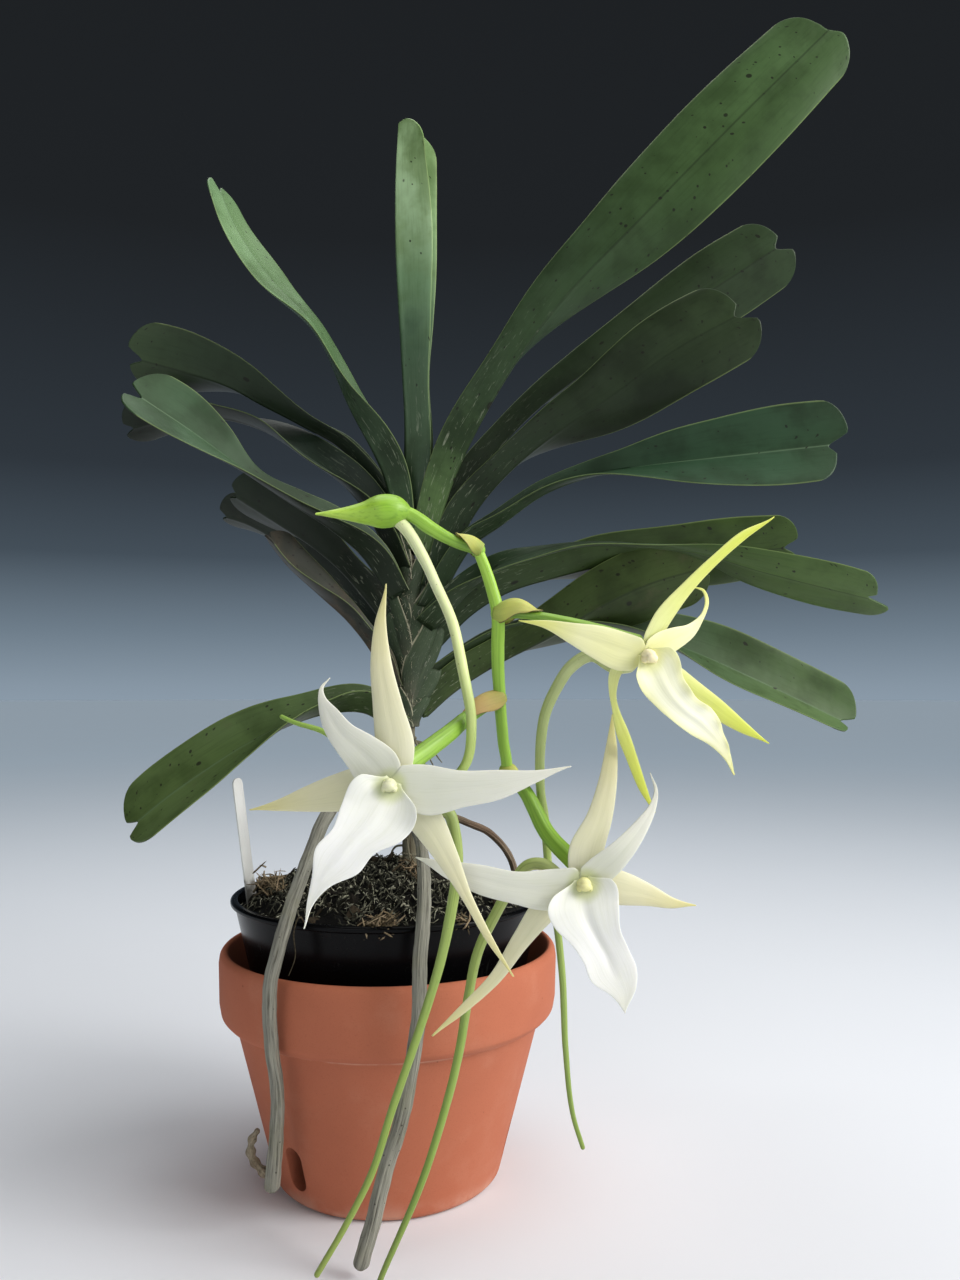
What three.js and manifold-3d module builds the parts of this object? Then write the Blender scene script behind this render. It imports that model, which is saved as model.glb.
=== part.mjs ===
// A potted angraecoid orchid: a fan of strap leaves on one upright stem, a zigzag spike with three
// open star flowers and a bud, each with a long nectar spur, and thick aerial roots. The plant
// stands in bark in a black inner pot, which stands in a terracotta pot.
// Millimetres, +Z up. The origin is the centre of the terracotta pot's underside. -Y is the front.

import * as THREE from 'three';
import { mergeVertices } from 'three/addons/utils/BufferGeometryUtils.js';
import Module from 'manifold-3d';

const wasm = await Module();
wasm.setup();

// Driving dimensions
const GAP = 0.3;
const POT_SIDES = 36;

const POT = {
  rimRadius: 95,
  height: 127,
  baseRadius: 63,
  wall: 7,
  floor: 9,
  creaseRadius: 85.6,
  creaseHeight: 88,
  slotWidth: 12,
  slotHeight: 24,
  slotMiddle: 22,
  slotAngles: [-40, 80, 200],
};

const INNER_POT = {
  lipRadius: 89.2,
  lipHeight: 154.6,
  topRadius: 86.6,
  baseRadius: 53,
  wall: 1.4,
  lip: 3.6,
};

const MEDIUM = { rimHeight: 148, crown: 22, chips: 14, chip: [15, 9, 6] };

const STEM = { x: 10, radius: 4.3, sheathWidth: 13, sheathDepth: 7, sheathBottom: 262, sheathTop: 388 };

const LEAF = { thickness: 1.6, rows: 10, columns: 4, widths: [0.5, 0.66, 0.62, 0.8, 0.97, 1, 0.92] };

const TEPAL = { thickness: 1 };

const CORE = { sepals: 2.6, petals: 1.5, lip: 1.5, radius: 6.5 };

const COLOURS = {
  terracotta: '#be6446',
  blackPlastic: '#141416',
  medium: '#1c1b17',
  label: '#e4e4e0',
  bark: '#77756a',
  leaf: '#35522f',
  leafPale: '#7fa36b',
  leafOlive: '#55693c',
  leafBrown: '#4a4436',
  root: '#96968a',
  rootBrown: '#7a6a55',
  spike: '#78a541',
  bract: '#bcb75c',
  bractTan: '#c8a56e',
  bud: '#a0cd28',
  spur: '#aabe5a',
  budSpur: '#dfe6b0',
  petal: '#ebebe1',
  sepal: '#d7d2af',
  yellowSepal: '#dcdc8c',
  yellowPetal: '#e6e6b4',
  column: '#dcd8a0',
};

// Solids: a closed geometry becomes a solid for cutting and joining, and comes back as a geometry
const toSolid = (geometry) => {
  geometry.deleteAttribute('normal');
  geometry.deleteAttribute('uv');
  const merged = mergeVertices(geometry, 1e-4);
  const vertProperties = new Float32Array(merged.attributes.position.array);
  const triVerts = new Uint32Array(merged.index.array);
  return new wasm.Manifold(new wasm.Mesh({ numProp: 3, vertProperties, triVerts }));
};

const toGeometry = (solid) => {
  const mesh = solid.getMesh();
  const geometry = new THREE.BufferGeometry();
  geometry.setAttribute('position', new THREE.BufferAttribute(new Float32Array(mesh.vertProperties), 3));
  geometry.setIndex(new THREE.BufferAttribute(new Uint32Array(mesh.triVerts), 1));
  return geometry;
};

const join = (solids) => solids.reduce((whole, next) => whole.add(next));

const cutAway = (solid, tools) => tools.reduce((left, tool) => left.subtract(tool), solid);

// Cutting can leave scraps, so only the largest body is kept
const largest = (solid) => {
  const bodies = solid.decompose();
  return bodies.reduce((best, body) => (body.volume() > best.volume() ? body : best));
};

// Values spread evenly from 0 to 1, joined by a smooth curve
const smoothly = (values) => {
  const curve = new THREE.SplineCurve(values.map((value, i) => new THREE.Vector2(i, value)));
  return (s) => curve.getPoint(THREE.MathUtils.clamp(s, 0, 1)).y;
};

const vector = (point) => new THREE.Vector3(...point);

const routeOf = (points) => new THREE.CatmullRomCurve3(points.map(vector), false, 'centripetal');

// A closed sheet of one thickness round the surface point(u, v), split alike on both faces
function sheet(point, rows, columns, thickness) {
  const middle = [];
  for (let i = 0; i <= rows; i += 1) {
    middle.push([]);
    for (let j = 0; j <= columns; j += 1) middle[i].push(point(i / rows, j / columns));
  }
  const face = [];
  const back = [];
  for (let i = 0; i <= rows; i += 1) {
    for (let j = 0; j <= columns; j += 1) {
      const offset = sheetOffset(middle, i, j, thickness / 2);
      face.push(middle[i][j].clone().add(offset));
      back.push(middle[i][j].clone().sub(offset));
    }
  }
  const count = face.length;
  const at = (i, j) => i * (columns + 1) + j;
  const index = [];
  for (let i = 0; i < rows; i += 1) {
    for (let j = 0; j < columns; j += 1) {
      const [a, b, c, d] = [at(i, j), at(i + 1, j), at(i + 1, j + 1), at(i, j + 1)];
      const halves = j < columns / 2 ? [[a, b, d], [b, c, d]] : [[a, b, c], [a, c, d]];
      for (const [p, q, r] of halves) index.push(p, q, r, p + count, r + count, q + count);
    }
  }
  const wall = (p, q) => index.push(q, p, p + count, q, p + count, q + count);
  for (let i = 0; i < rows; i += 1) {
    wall(at(i, 0), at(i + 1, 0));
    wall(at(i + 1, columns), at(i, columns));
  }
  for (let j = 0; j < columns; j += 1) {
    wall(at(rows, j), at(rows, j + 1));
    wall(at(0, j + 1), at(0, j));
  }
  const geometry = new THREE.BufferGeometry().setFromPoints([...face, ...back]);
  geometry.setIndex(index);
  return geometry;
}

// Half the thickness along the normal, lengthened at a fold so that both walls keep their thickness
function sheetOffset(middle, i, j, half) {
  const rows = middle.length - 1;
  const columns = middle[0].length - 1;
  const along = middle[Math.min(i + 1, rows)][j].clone().sub(middle[Math.max(i - 1, 0)][j]);
  const sides = [];
  if (j > 0) sides.push(middle[i][j].clone().sub(middle[i][j - 1]));
  if (j < columns) sides.push(middle[i][j + 1].clone().sub(middle[i][j]));
  const normals = sides.map((side) => along.clone().cross(side).normalize());
  const mean = normals.reduce((sum, normal) => sum.add(normal), new THREE.Vector3()).normalize();
  const mitre = Math.min(1 / mean.dot(normals[0]), 2.2);
  return mean.multiplyScalar(half * mitre);
}

// A round rod along a route, with its radius given by values spread along it
function rod(route, radii, sides, steps, grow = 0) {
  const curve = routeOf(route);
  const radius = smoothly(radii);
  const frames = curve.computeFrenetFrames(steps, false);
  const geometry = new THREE.CylinderGeometry(1, 1, 1, sides, steps);
  const position = geometry.attributes.position;
  for (let k = 0; k < position.count; k += 1) {
    const step = Math.round((0.5 - position.getY(k)) * steps);
    const reach = radius(step / steps) + grow;
    const point = curve.getPointAt(step / steps);
    point.addScaledVector(frames.normals[step], position.getX(k) * reach);
    point.addScaledVector(frames.binormals[step], position.getZ(k) * reach);
    position.setXYZ(k, point.x, point.y, point.z);
  }
  return toSolid(geometry);
}

const lathe = (profile, sides) => {
  const geometry = new THREE.LatheGeometry(profile.map(([r, z]) => new THREE.Vector2(r, z)), sides);
  geometry.rotateX(Math.PI / 2);
  return geometry;
};

// Terracotta pot: a plain tapered pot with a deep rim band and three slots low in its wall
function terracottaPot() {
  const { rimRadius, height, baseRadius, wall, floor, creaseRadius, creaseHeight } = POT;
  const profile = [
    [0, 0], [baseRadius - 2.5, 0], [baseRadius, 2.5],
    [creaseRadius, creaseHeight], [creaseRadius + 5, creaseHeight + 1.5],
    [rimRadius - 1.4, creaseHeight + 5], [rimRadius - 0.5, creaseHeight + 11],
    [rimRadius, height - 7], [rimRadius - 0.8, height - 2.4], [rimRadius - 2.8, height],
    [rimRadius - 4.6, height - 0.4], [rimRadius - 5.5, height - 3],
    [creaseRadius - wall + 0.6, creaseHeight + 4], [baseRadius - wall + 1, floor + 3],
    [baseRadius - wall - 3, floor], [0, floor],
  ];
  const slots = POT.slotAngles.map((angle) => {
    const outline = new THREE.Shape();
    const half = POT.slotWidth / 2;
    const reach = POT.slotHeight / 2 - half;
    outline.absarc(0, reach, half, 0, Math.PI, false);
    outline.absarc(0, -reach, half, Math.PI, 2 * Math.PI, false);
    const slot = new THREE.ExtrudeGeometry(outline, { depth: 60, bevelEnabled: false, curveSegments: 4 });
    slot.rotateX(Math.PI / 2);
    slot.translate(0, -40, POT.slotMiddle);
    slot.rotateZ(THREE.MathUtils.degToRad(angle));
    return toSolid(slot);
  });
  return cutAway(toSolid(lathe(profile, POT_SIDES)), slots);
}

// Inner pot: a thin black nursery pot with a rolled lip, standing on the terracotta floor
const innerPotBottom = POT.floor + GAP;

function innerPot() {
  const { lipRadius, lipHeight, topRadius, baseRadius, wall, lip } = INNER_POT;
  const under = lipHeight - lip;
  const profile = [
    [0, innerPotBottom], [baseRadius, innerPotBottom], [topRadius, under],
    [lipRadius, under + 0.6], [lipRadius, lipHeight - 0.8], [lipRadius - 1, lipHeight],
    [topRadius - wall, lipHeight], [topRadius - wall, under],
    [baseRadius - wall, innerPotBottom + wall + 0.4], [0, innerPotBottom + wall + 0.4],
  ];
  return toSolid(lathe(profile, POT_SIDES));
}

const innerWallRadius = (z) => {
  const { baseRadius, topRadius, wall, lipHeight, lip } = INNER_POT;
  const bottom = innerPotBottom + wall + 0.4;
  return baseRadius - wall + ((topRadius - baseRadius) * (z - bottom)) / (lipHeight - lip - bottom);
};

// Growing medium: a lumpy heap of bark and moss, highest round the stem, with chips standing out
const lumps = (x, y) =>
  1.6 * Math.sin(x * 0.21 + 1) * Math.cos(y * 0.19) +
  1.1 * Math.sin(x * 0.47 + y * 0.39) +
  0.8 * Math.cos(x * 0.83 - y * 0.71);

const mediumHeight = (x, y) => {
  const share = Math.min(Math.hypot(x, y) / (INNER_POT.topRadius - INNER_POT.wall), 1);
  const mound = 5 * Math.exp(-((x + 50) ** 2 + (y - 25) ** 2) / 450);
  return MEDIUM.rimHeight + MEDIUM.crown * (1 - share ** 1.6) + (mound + lumps(x, y)) * (1 - share ** 6);
};

function growingMedium(tools) {
  const bottom = innerPotBottom + INNER_POT.wall + 0.4 + GAP;
  const low = innerWallRadius(bottom) - GAP - 0.1;
  const high = innerWallRadius(MEDIUM.rimHeight) - GAP - 0.1;
  const crownRings = [0.84, 0.67, 0.5, 0.33, 0.17, 0];
  const profile = [[0, bottom], [low, bottom], [high, MEDIUM.rimHeight]];
  for (const ring of crownRings) profile.push([high * ring, MEDIUM.rimHeight + 1]);
  const geometry = lathe(profile, POT_SIDES);
  const position = geometry.attributes.position;
  for (let k = 0; k < position.count; k += 1) {
    if (position.getZ(k) > MEDIUM.rimHeight + 0.5) {
      position.setZ(k, mediumHeight(position.getX(k), position.getY(k)));
    }
  }
  const chips = [];
  for (let k = 0; k < MEDIUM.chips; k += 1) {
    const angle = k * 2.4;
    const reach = 22 + 42 * Math.sqrt(k / MEDIUM.chips);
    const [x, y] = [reach * Math.cos(angle), reach * Math.sin(angle)];
    const chip = new THREE.BoxGeometry(...MEDIUM.chip);
    chip.rotateX(0.5 * Math.sin(k * 3));
    chip.rotateY(0.5 * Math.cos(k * 5));
    chip.rotateZ(k * 1.7);
    chip.translate(x, y, mediumHeight(x, y) + 0.5);
    chips.push(toSolid(chip));
  }
  return largest(cutAway(join([toSolid(geometry), ...chips]), tools));
}

// Stem: a bare grey cane below, and above it the flat column of old leaf sheaths
const stemRoute = [[12, 2, 135], [11, 1, 190], [STEM.x, 0, 240], [STEM.x, 0, 300]];

function sheathColumn(grow = 0) {
  const { x, sheathWidth, sheathDepth, sheathBottom, sheathTop } = STEM;
  const profile = [
    [0, sheathBottom - grow], [4.6 + grow, sheathBottom - grow], [7 + grow, sheathBottom + 16],
    [sheathWidth - 3 + grow, sheathBottom + 45], [sheathWidth + grow, sheathBottom + 80],
    [sheathWidth - 2 + grow, sheathTop - 16], [5 + grow, sheathTop + grow], [0, sheathTop + grow],
  ];
  const geometry = lathe(profile, 14);
  geometry.scale(1, (sheathDepth + grow) / (sheathWidth + grow), 1);
  geometry.translate(x, 0, 0);
  return toSolid(geometry);
}

const cane = (grow = 0) => rod(stemRoute, [STEM.radius, STEM.radius], 10, 6, grow);

// Leaves: each has the route of its keel from the stem to the tip, its half width, how far its
// inner face turns towards the front, how far it is folded open, and its two lobes past the notch
const LEAVES = [
  {
    name: 'leaf_centre', side: -1, half: 24, lobes: [2, 5], turn: [0, 4, 8, 14], fold: [14, 14, 16, 34],
    keel: [[7, 0, 369], [9, -4, 421], [7, -8, 467], [4, -10, 525], [4, -13, 565], [6, -18, 598]],
  },
  {
    name: 'leaf_right_1', side: 1, half: 25.5, lobes: [10, 3], turn: [0, -45, -85, -88], fold: [14, 40, 78, 84],
    widths: [0.5, 0.66, 0.62, 0.82, 1, 1, 0.86],
    keel: [[22, -2, 348], [37, -8, 394], [66, -14, 449], [95, -18, 489], [142, -26, 536], [195, -34, 588],
      [250, -40, 641]],
  },
  {
    name: 'leaf_right_2', side: 1, half: 25, lobes: [10, 5], turn: [0, -30, -70, -80], fold: [14, 30, 70, 78],
    widths: [0.5, 0.6, 0.5, 0.56, 0.8, 1, 0.92],
    keel: [[26, 6, 336], [46, 16, 389], [76, 26, 432], [117, 30, 467], [157, 32, 493], [202, 32, 522],
      [244, 30, 549]],
  },
  {
    name: 'leaf_right_3', side: 1, half: 26, lobes: [12, 4], turn: [0, -40, -85, -90], fold: [14, 40, 78, 82],
    widths: [0.5, 0.6, 0.52, 0.64, 0.88, 1, 0.94],
    keel: [[29, 0, 327], [46, -4, 369], [69, -8, 397], [98, -12, 420], [125, -14, 437], [162, -18, 463],
      [208, -20, 488]],
  },
  {
    name: 'leaf_right_4', side: 1, half: 25, lobes: [12, 3], turn: [0, 20, 60, 80, 80], fold: [14, 30, 62, 66],
    widths: [0.45, 0.4, 0.3, 0.4, 0.78, 1, 0.98],
    keel: [[24, -2, 314], [46, -10, 352], [63, -16, 364], [88, -22, 381], [113, -26, 390], [141, -30, 394],
      [190, -34, 399], [256, -36, 406]],
  },
  {
    name: 'leaf_right_5', side: 1, half: 25, lobes: [8, 8], turn: [0, -30, -45, -45], fold: [14, 50, 85, 85],
    keel: [[26, 6, 294], [46, 12, 315], [68, 18, 329], [98, 24, 339], [131, 28, 347], [181, 32, 352],
      [247, 34, 359]],
  },
  {
    name: 'leaf_right_6', side: 1, half: 18, lobes: [14, 3], turn: [10, 25, 0, -35, -30], fold: [14, 80, 85, 85, 85],
    widths: [0.7, 0.7, 0.62, 0.55, 0.36, 0.8, 1, 0.9],
    keel: [[24, -4, 304], [46, -14, 327], [66, -20, 341], [85, -24, 347], [108, -28, 351], [140, -32, 350],
      [171, -36, 346], [206, -40, 335], [275, -44, 317]],
  },
  {
    name: 'leaf_right_7', side: 1, half: 24, lobes: [6, 8], turn: [0, -40, -75, -80], fold: [14, 40, 66, 70],
    keel: [[19, 0, 254], [37, 6, 270], [64, 12, 287], [91, 16, 301], [124, 18, 320], [154, 20, 334],
      [192, 22, 345]],
  },
  {
    name: 'leaf_right_8', side: 1, half: 24, lobes: [9, 5], turn: [0, 20, 46, 46], fold: [14, 50, 84, 84],
    keel: [[24, 6, 270], [46, 16, 283], [70, 24, 296], [101, 32, 305], [139, 38, 307], [177, 42, 296],
      [222, 40, 276], [281, 36, 247]],
  },
  {
    name: 'leaf_left_2', side: -1, half: 22, lobes: [3, 8], turn: [0, 0, 8, 22, 14, 4], fold: [14, 14, 60, 85, 85, 85],
    keel: [[5, -4, 360], [-3, -8, 394], [-23, -10, 434], [-43, -12, 478], [-69, -14, 506], [-89, -16, 535],
      [-101, -18, 564]],
  },
  {
    name: 'leaf_left_3', side: -1, half: 25, lobes: [8, 10], turn: [0, 10, -25, -55], fold: [14, 25, 55, 70],
    widths: [0.5, 0.5, 0.36, 0.36, 0.72, 0.95, 0.9],
    keel: [[3, 4, 346], [-12, 10, 388], [-30, 14, 414], [-56, 16, 430], [-79, 16, 442], [-102, 14, 454],
      [-160, 10, 470]],
  },
  {
    name: 'leaf_left_4', side: -1, half: 24, lobes: [8, 5], turn: [10, 45, 0, -40], fold: [14, 50, 70, 75],
    widths: [0.5, 0.62, 0.6, 0.7, 0.6, 0.7, 0.7],
    keel: [[2, -2, 337], [-11, -2, 369], [-27, 2, 390], [-52, 8, 409], [-79, 16, 427], [-107, 24, 436],
      [-137, 32, 438], [-172, 40, 432]],
  },
  {
    name: 'leaf_left_5', side: -1, half: 25, lobes: [9, 9], turn: [0, 20, 35, 40], fold: [14, 45, 65, 75],
    widths: [0.5, 0.6, 0.55, 0.42, 0.3, 0.7, 1, 0.95],
    keel: [[1, -8, 322], [-14, -16, 346], [-33, -22, 362], [-52, -28, 374], [-78, -36, 391],
      [-105, -46, 410], [-136, -58, 430]],
  },
  {
    name: 'leaf_left_6', side: -1, half: 22, lobes: [6, 6], turn: [0, -10, -30, -40], fold: [14, 30, 60, 70],
    keel: [[-1, -2, 306], [-15, 0, 324], [-30, 2, 341], [-48, 4, 356], [-69, 6, 370], [-97, 10, 388]],
  },
  {
    name: 'leaf_left_7', side: -1, half: 20, lobes: [5, 5], turn: [0, 0, -20, -30], fold: [14, 30, 60, 70],
    keel: [[-2, 4, 291], [-15, 14, 308], [-30, 22, 327], [-49, 28, 343], [-68, 34, 359],
      [-91, 40, 373], [-111, 44, 380]],
  },
  {
    name: 'leaf_left_8', side: -1, half: 15, lobes: [5, 5], turn: [0, 10, 20, 20], fold: [14, 30, 55, 60],
    keel: [[1, -6, 270], [-8, -10, 290], [-22, -14, 309], [-39, -18, 325], [-55, -22, 340], [-68, -26, 357]],
  },
  {
    name: 'leaf_left_9', side: -1, half: 24, lobes: [6, 8], turn: [0, 30, 45, 45], fold: [14, 45, 70, 78],
    keel: [[4, -6, 246], [-13, -16, 258], [-32, -24, 258], [-52, -32, 252], [-75, -40, 240], [-93, -46, 228],
      [-112, -52, 214], [-133, -56, 196]],
  },
];

function leaf(spec, grow = 0) {
  const curve = routeOf(spec.keel);
  const length = curve.getLength();
  const turn = smoothly(spec.turn);
  const fold = smoothly(spec.fold);
  const share = smoothly(spec.widths ?? LEAF.widths);
  const longest = Math.max(...spec.lobes);
  const { smoothstep, degToRad } = THREE.MathUtils;
  const point = (u, v) => {
    const c = 2 * v - 1;
    const lobe = spec.lobes[c < 0 ? 0 : 1] * smoothstep(Math.abs(c), 0, 0.5);
    const shoulder = 0.55 * spec.half * c ** 4;
    const s = (1 - (1 - u) ** 1.4) * (1 - (longest - lobe + shoulder - grow) / length);
    const tangent = curve.getTangentAt(Math.min(s, 1));
    const up = new THREE.Vector3(-tangent.z, 0, tangent.x).normalize().multiplyScalar(spec.side);
    const front = tangent.clone().cross(up).multiplyScalar(spec.side);
    const turned = degToRad(turn(s));
    const inward = up.clone().multiplyScalar(Math.cos(turned)).addScaledVector(front, Math.sin(turned));
    const across = front.clone().multiplyScalar(Math.cos(turned)).addScaledVector(up, -Math.sin(turned));
    const width = spec.half * share(s) + grow;
    const open = degToRad(fold(s));
    return curve.getPointAt(Math.min(s, 1))
      .addScaledVector(tangent, u === 0 ? -grow : 0)
      .addScaledVector(across, width * c * Math.sin(open))
      .addScaledVector(inward, width * Math.abs(c) * Math.cos(open));
  };
  return toSolid(sheet(point, LEAF.rows, LEAF.columns, LEAF.thickness + 2 * grow));
}

// Flowers: three sepals, two petals, a shell-shaped lip, a stubby column and a long spur. The
// pieces lie in layers along the way that the flower faces, from the sepals at the back
const FLOWERS = [
  {
    name: 'flower_1', centre: [15, -165, 231], facing: [-0.1, -1, 0.02],
    sepals: [
      { tip: [11, -152, 317], half: 8.8, bow: -3.5 },
      { tip: [-48, -150, 219], half: 8, bow: 0 },
      { tip: [66, -158, 150], half: 7.4, bow: 0 },
    ],
    petals: [{ tip: [-12, -158, 276], half: 9, bow: -6 }, { tip: [90, -166, 239], half: 9, bow: 3.5 }],
    lip: { tip: [-19, -180, 175], half: 17, bow: 0 },
    tones: ['sepal', 'petal'],
    spurRadii: [3, 2.6, 2, 1.7, 1.3],
    spur: [[16, -166, 229], [28, -153, 222], [38, -150, 218], [41, -150, 208], [42, -150, 195],
      [40, -150, 179], [35, -150, 155], [30, -150, 138], [23, -150, 117], [14, -150, 91], [6, -150, 66],
      [-5, -150, 44], [-18, -150, 22]],
  },
  {
    name: 'flower_2', centre: [121, -160, 286], facing: [0.35, -1, -0.25],
    sepals: [
      { tip: [183, -142, 348], half: 6, bow: -5 },
      { tip: [130, -132, 216], half: 6, bow: 11 },
      { tip: [185, -122, 246], half: 7, bow: 0 },
    ],
    petals: [{ tip: [68, -167, 300], half: 8, bow: 1 }, { tip: [150, -149, 313], half: 7, bow: 4 }],
    lip: { tip: [162, -150, 234], half: 13.5, bow: 1 },
    tones: ['yellowSepal', 'yellowPetal'],
    spurRadii: [3.2, 2.4, 2, 1.6, 1.1],
    spur: [[117.5, -160, 281.5], [110, -151, 281], [101, -146, 286], [92, -143, 281], [86, -141, 272],
      [81, -140, 261], [79, -138, 249], [79, -128, 236], [80, -118, 223], [82, -113, 211], [84, -112, 186],
      [88, -114, 158], [90, -116, 136], [91, -118, 107], [94, -118, 78], [99, -118, 61]],
  },
  {
    name: 'flower_3', centre: [96, -150, 188], facing: [0.05, -1, -0.05],
    sepals: [
      { tip: [111, -138, 260], half: 7.4, bow: 4 },
      { tip: [31, -145, 121], half: 7, bow: 0 },
      { tip: [147, -140, 176], half: 7, bow: 0 },
    ],
    petals: [{ tip: [24, -152, 199], half: 8, bow: -5 }, { tip: [126, -150, 235], half: 7, bow: 7 }],
    lip: { tip: [112, -165, 137], half: 15.5, bow: 0 },
    tones: ['sepal', 'petal'],
    spurRadii: [3, 2.4, 2, 1.7, 1.3],
    spur: [[94, -151, 186.5], [86, -144, 190], [80, -141, 194], [73, -138, 193], [67, -135, 185],
      [60, -133, 173], [51, -132, 154], [47, -131, 136], [42, -131, 107], [35, -131, 80], [25, -131, 50],
      [8, -131, 11], [6, -131, 5]],
  },
];

// A round button of tissue that holds a layer together, at a depth in front of the flower's centre
function core(flower, depth, thickness, grow = 0) {
  const facing = vector(flower.facing).normalize();
  const geometry = new THREE.CylinderGeometry(CORE.radius + grow, CORE.radius + grow, thickness + 2 * grow, 10);
  geometry.applyQuaternion(new THREE.Quaternion().setFromUnitVectors(new THREE.Vector3(0, 1, 0), facing));
  const middle = vector(flower.centre).addScaledVector(facing, depth + thickness / 2);
  geometry.translate(middle.x, middle.y, middle.z);
  return toSolid(geometry);
}

// A blade from the core to its tip, arched forward and bowed to one side, with its edges bent back
function tepal(flower, depth, { tip, half, bow }, form, grow = 0) {
  const facing = vector(flower.facing).normalize();
  const root = vector(flower.centre).addScaledVector(facing, depth);
  const end = vector(tip);
  const outward = end.clone().sub(root).projectOnPlane(facing).normalize();
  const start = root.clone().addScaledVector(outward, CORE.radius * 0.4);
  const bend = start.clone().lerp(end, 0.5)
    .addScaledVector(facing, form.arch)
    .addScaledVector(outward.clone().cross(facing), 2 * bow);
  const curve = new THREE.QuadraticBezierCurve3(start, bend, end);
  const width = smoothly(form.profile);
  const point = (u, v) => {
    const c = 2 * v - 1;
    const tangent = curve.getTangentAt(u);
    const across = tangent.clone().cross(facing).normalize();
    const normal = across.clone().cross(tangent).normalize();
    const reach = Math.max(half * width(u), 0.45) + grow;
    return curve.getPointAt(u).addScaledVector(across, reach * c).addScaledVector(normal, form.curl * reach * c * c);
  };
  return toSolid(sheet(point, form.rows, form.columns, TEPAL.thickness + 2 * grow));
}

const LANCE = [0.8, 1, 0.76, 0.55, 0.38, 0.2, 0.03];
const SHELL = [0.7, 1, 0.9, 0.72, 0.62, 0.45, 0.16, 0.03];

const SEPAL = { profile: LANCE, arch: 0, curl: -0.25, rows: 7, columns: 2 };
const PETAL = { profile: LANCE, arch: 5, curl: -0.06, rows: 7, columns: 2 };
const LIP = { profile: SHELL, arch: 9, curl: 0.15, rows: 8, columns: 6 };

// One layer of a flower: its button of tissue and the blades that spread from it
const layer = (flower, depth, thickness, specs, form, grow = 0) => join([
  core(flower, depth, thickness, grow),
  ...specs.map((spec) => tepal(flower, depth + thickness / 2, spec, form, grow)),
]);

const sepalLayer = (flower, grow) => layer(flower, 0, CORE.sepals, flower.sepals, SEPAL, grow);

function flowerPieces(flower) {
  const [sepalTone, petalTone] = flower.tones;
  const petalDepth = CORE.sepals + GAP;
  const lipDepth = petalDepth + CORE.petals + GAP;
  const columnDepth = lipDepth + CORE.lip + GAP;
  const petalLayer = (grow) => layer(flower, petalDepth, CORE.petals, flower.petals, PETAL, grow);
  const lipLayer = layer(flower, lipDepth, CORE.lip, [flower.lip], LIP);
  const sepals = sepalLayer(flower);
  const petals = largest(petalLayer().subtract(sepalLayer(flower, GAP)));
  const lip = largest(lipLayer.subtract(petalLayer(GAP)));
  return [
    { name: `${flower.name}_sepals`, solid: sepals, tone: sepalTone },
    { name: `${flower.name}_petals`, solid: petals, tone: petalTone },
    { name: `${flower.name}_lip`, solid: lip, tone: petalTone },
    { name: `${flower.name}_column`, solid: columnPiece(flower, columnDepth), tone: 'column' },
    { name: `${flower.name}_spur`, solid: spurPiece(flower), tone: 'spur' },
  ];
}

function columnPiece(flower, depth) {
  const geometry = lathe([[0, 0], [3.6, 0], [4.4, 2.5], [4.2, 5], [2.6, 6.8], [0, 7.4]], 8);
  const facing = vector(flower.facing).normalize();
  geometry.applyQuaternion(new THREE.Quaternion().setFromUnitVectors(new THREE.Vector3(0, 0, 1), facing));
  const seat = vector(flower.centre).addScaledVector(facing, depth);
  geometry.translate(seat.x, seat.y, seat.z);
  return toSolid(geometry);
}

function spurPiece(flower) {
  const spur = rod(flower.spur, flower.spurRadii, 6, 20);
  return largest(cutAway(spur, [sepalLayer(flower, GAP)]));
}

// Flower spike: a zigzag stalk from the stem, with a short stalk to each flower and to the bud
const NODES = { bud: [51, -118, 336], two: [60, -122, 306], one: [61, -118, 267], three: [64, -112, 233] };

const RACHIS = [[12, -1, 229], [30, -40, 225], [48, -82, 226], NODES.three, [67, -115, 246], NODES.one,
  [60, -121, 287], NODES.two, [56, -120, 322], NODES.bud];

const STALKS = [
  { radii: [2.2, 2.6, 3.4], route: [NODES.bud, [39, -119, 341], [28, -120, 348], [19, -121, 355]] },
  { radii: [2.2, 2.4, 3], route: [NODES.two, [75, -126, 305], [97, -136, 300], [121.5, -158.5, 291]] },
  { radii: [2.4, 3, 3.4], route: [NODES.one, [47, -128, 261], [34, -142, 249], [15, -163, 235]] },
  { radii: [2.6, 3.2, 3.6], route: [NODES.three, [73, -120, 223], [82, -128, 206], [92, -139, 196], [98, -148, 192]] },
];

function flowerSpike(grow = 0) {
  const rachis = rod(RACHIS, [2.4, 2.6, 2.8, 2.6, 2.3, 2.6, 2.2], 6, 26, grow);
  const stalks = STALKS.map(({ route, radii }) => rod(route, radii, 6, 6, grow));
  const knuckles = Object.values(NODES).map((place) => {
    const knuckle = new THREE.SphereGeometry(3.4 + grow, 6, 4);
    knuckle.translate(...place);
    return toSolid(knuckle);
  });
  return join([rachis, ...stalks, ...knuckles]);
}

// Bracts: a folded hood over the foot of each stalk
const BRACTS = [
  { name: 'bract_bud', foot: NODES.bud, tip: [39, -119, 343], length: 15, tone: 'bract' },
  { name: 'bract_2', foot: NODES.two, tip: [75, -126, 305], length: 22, tone: 'bract' },
  { name: 'bract_1', foot: NODES.one, tip: [47, -128, 261], length: 19, tone: 'bractTan' },
  { name: 'bract_3', foot: NODES.three, tip: [73, -118, 223], length: 10, tone: 'bractTan' },
];

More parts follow.
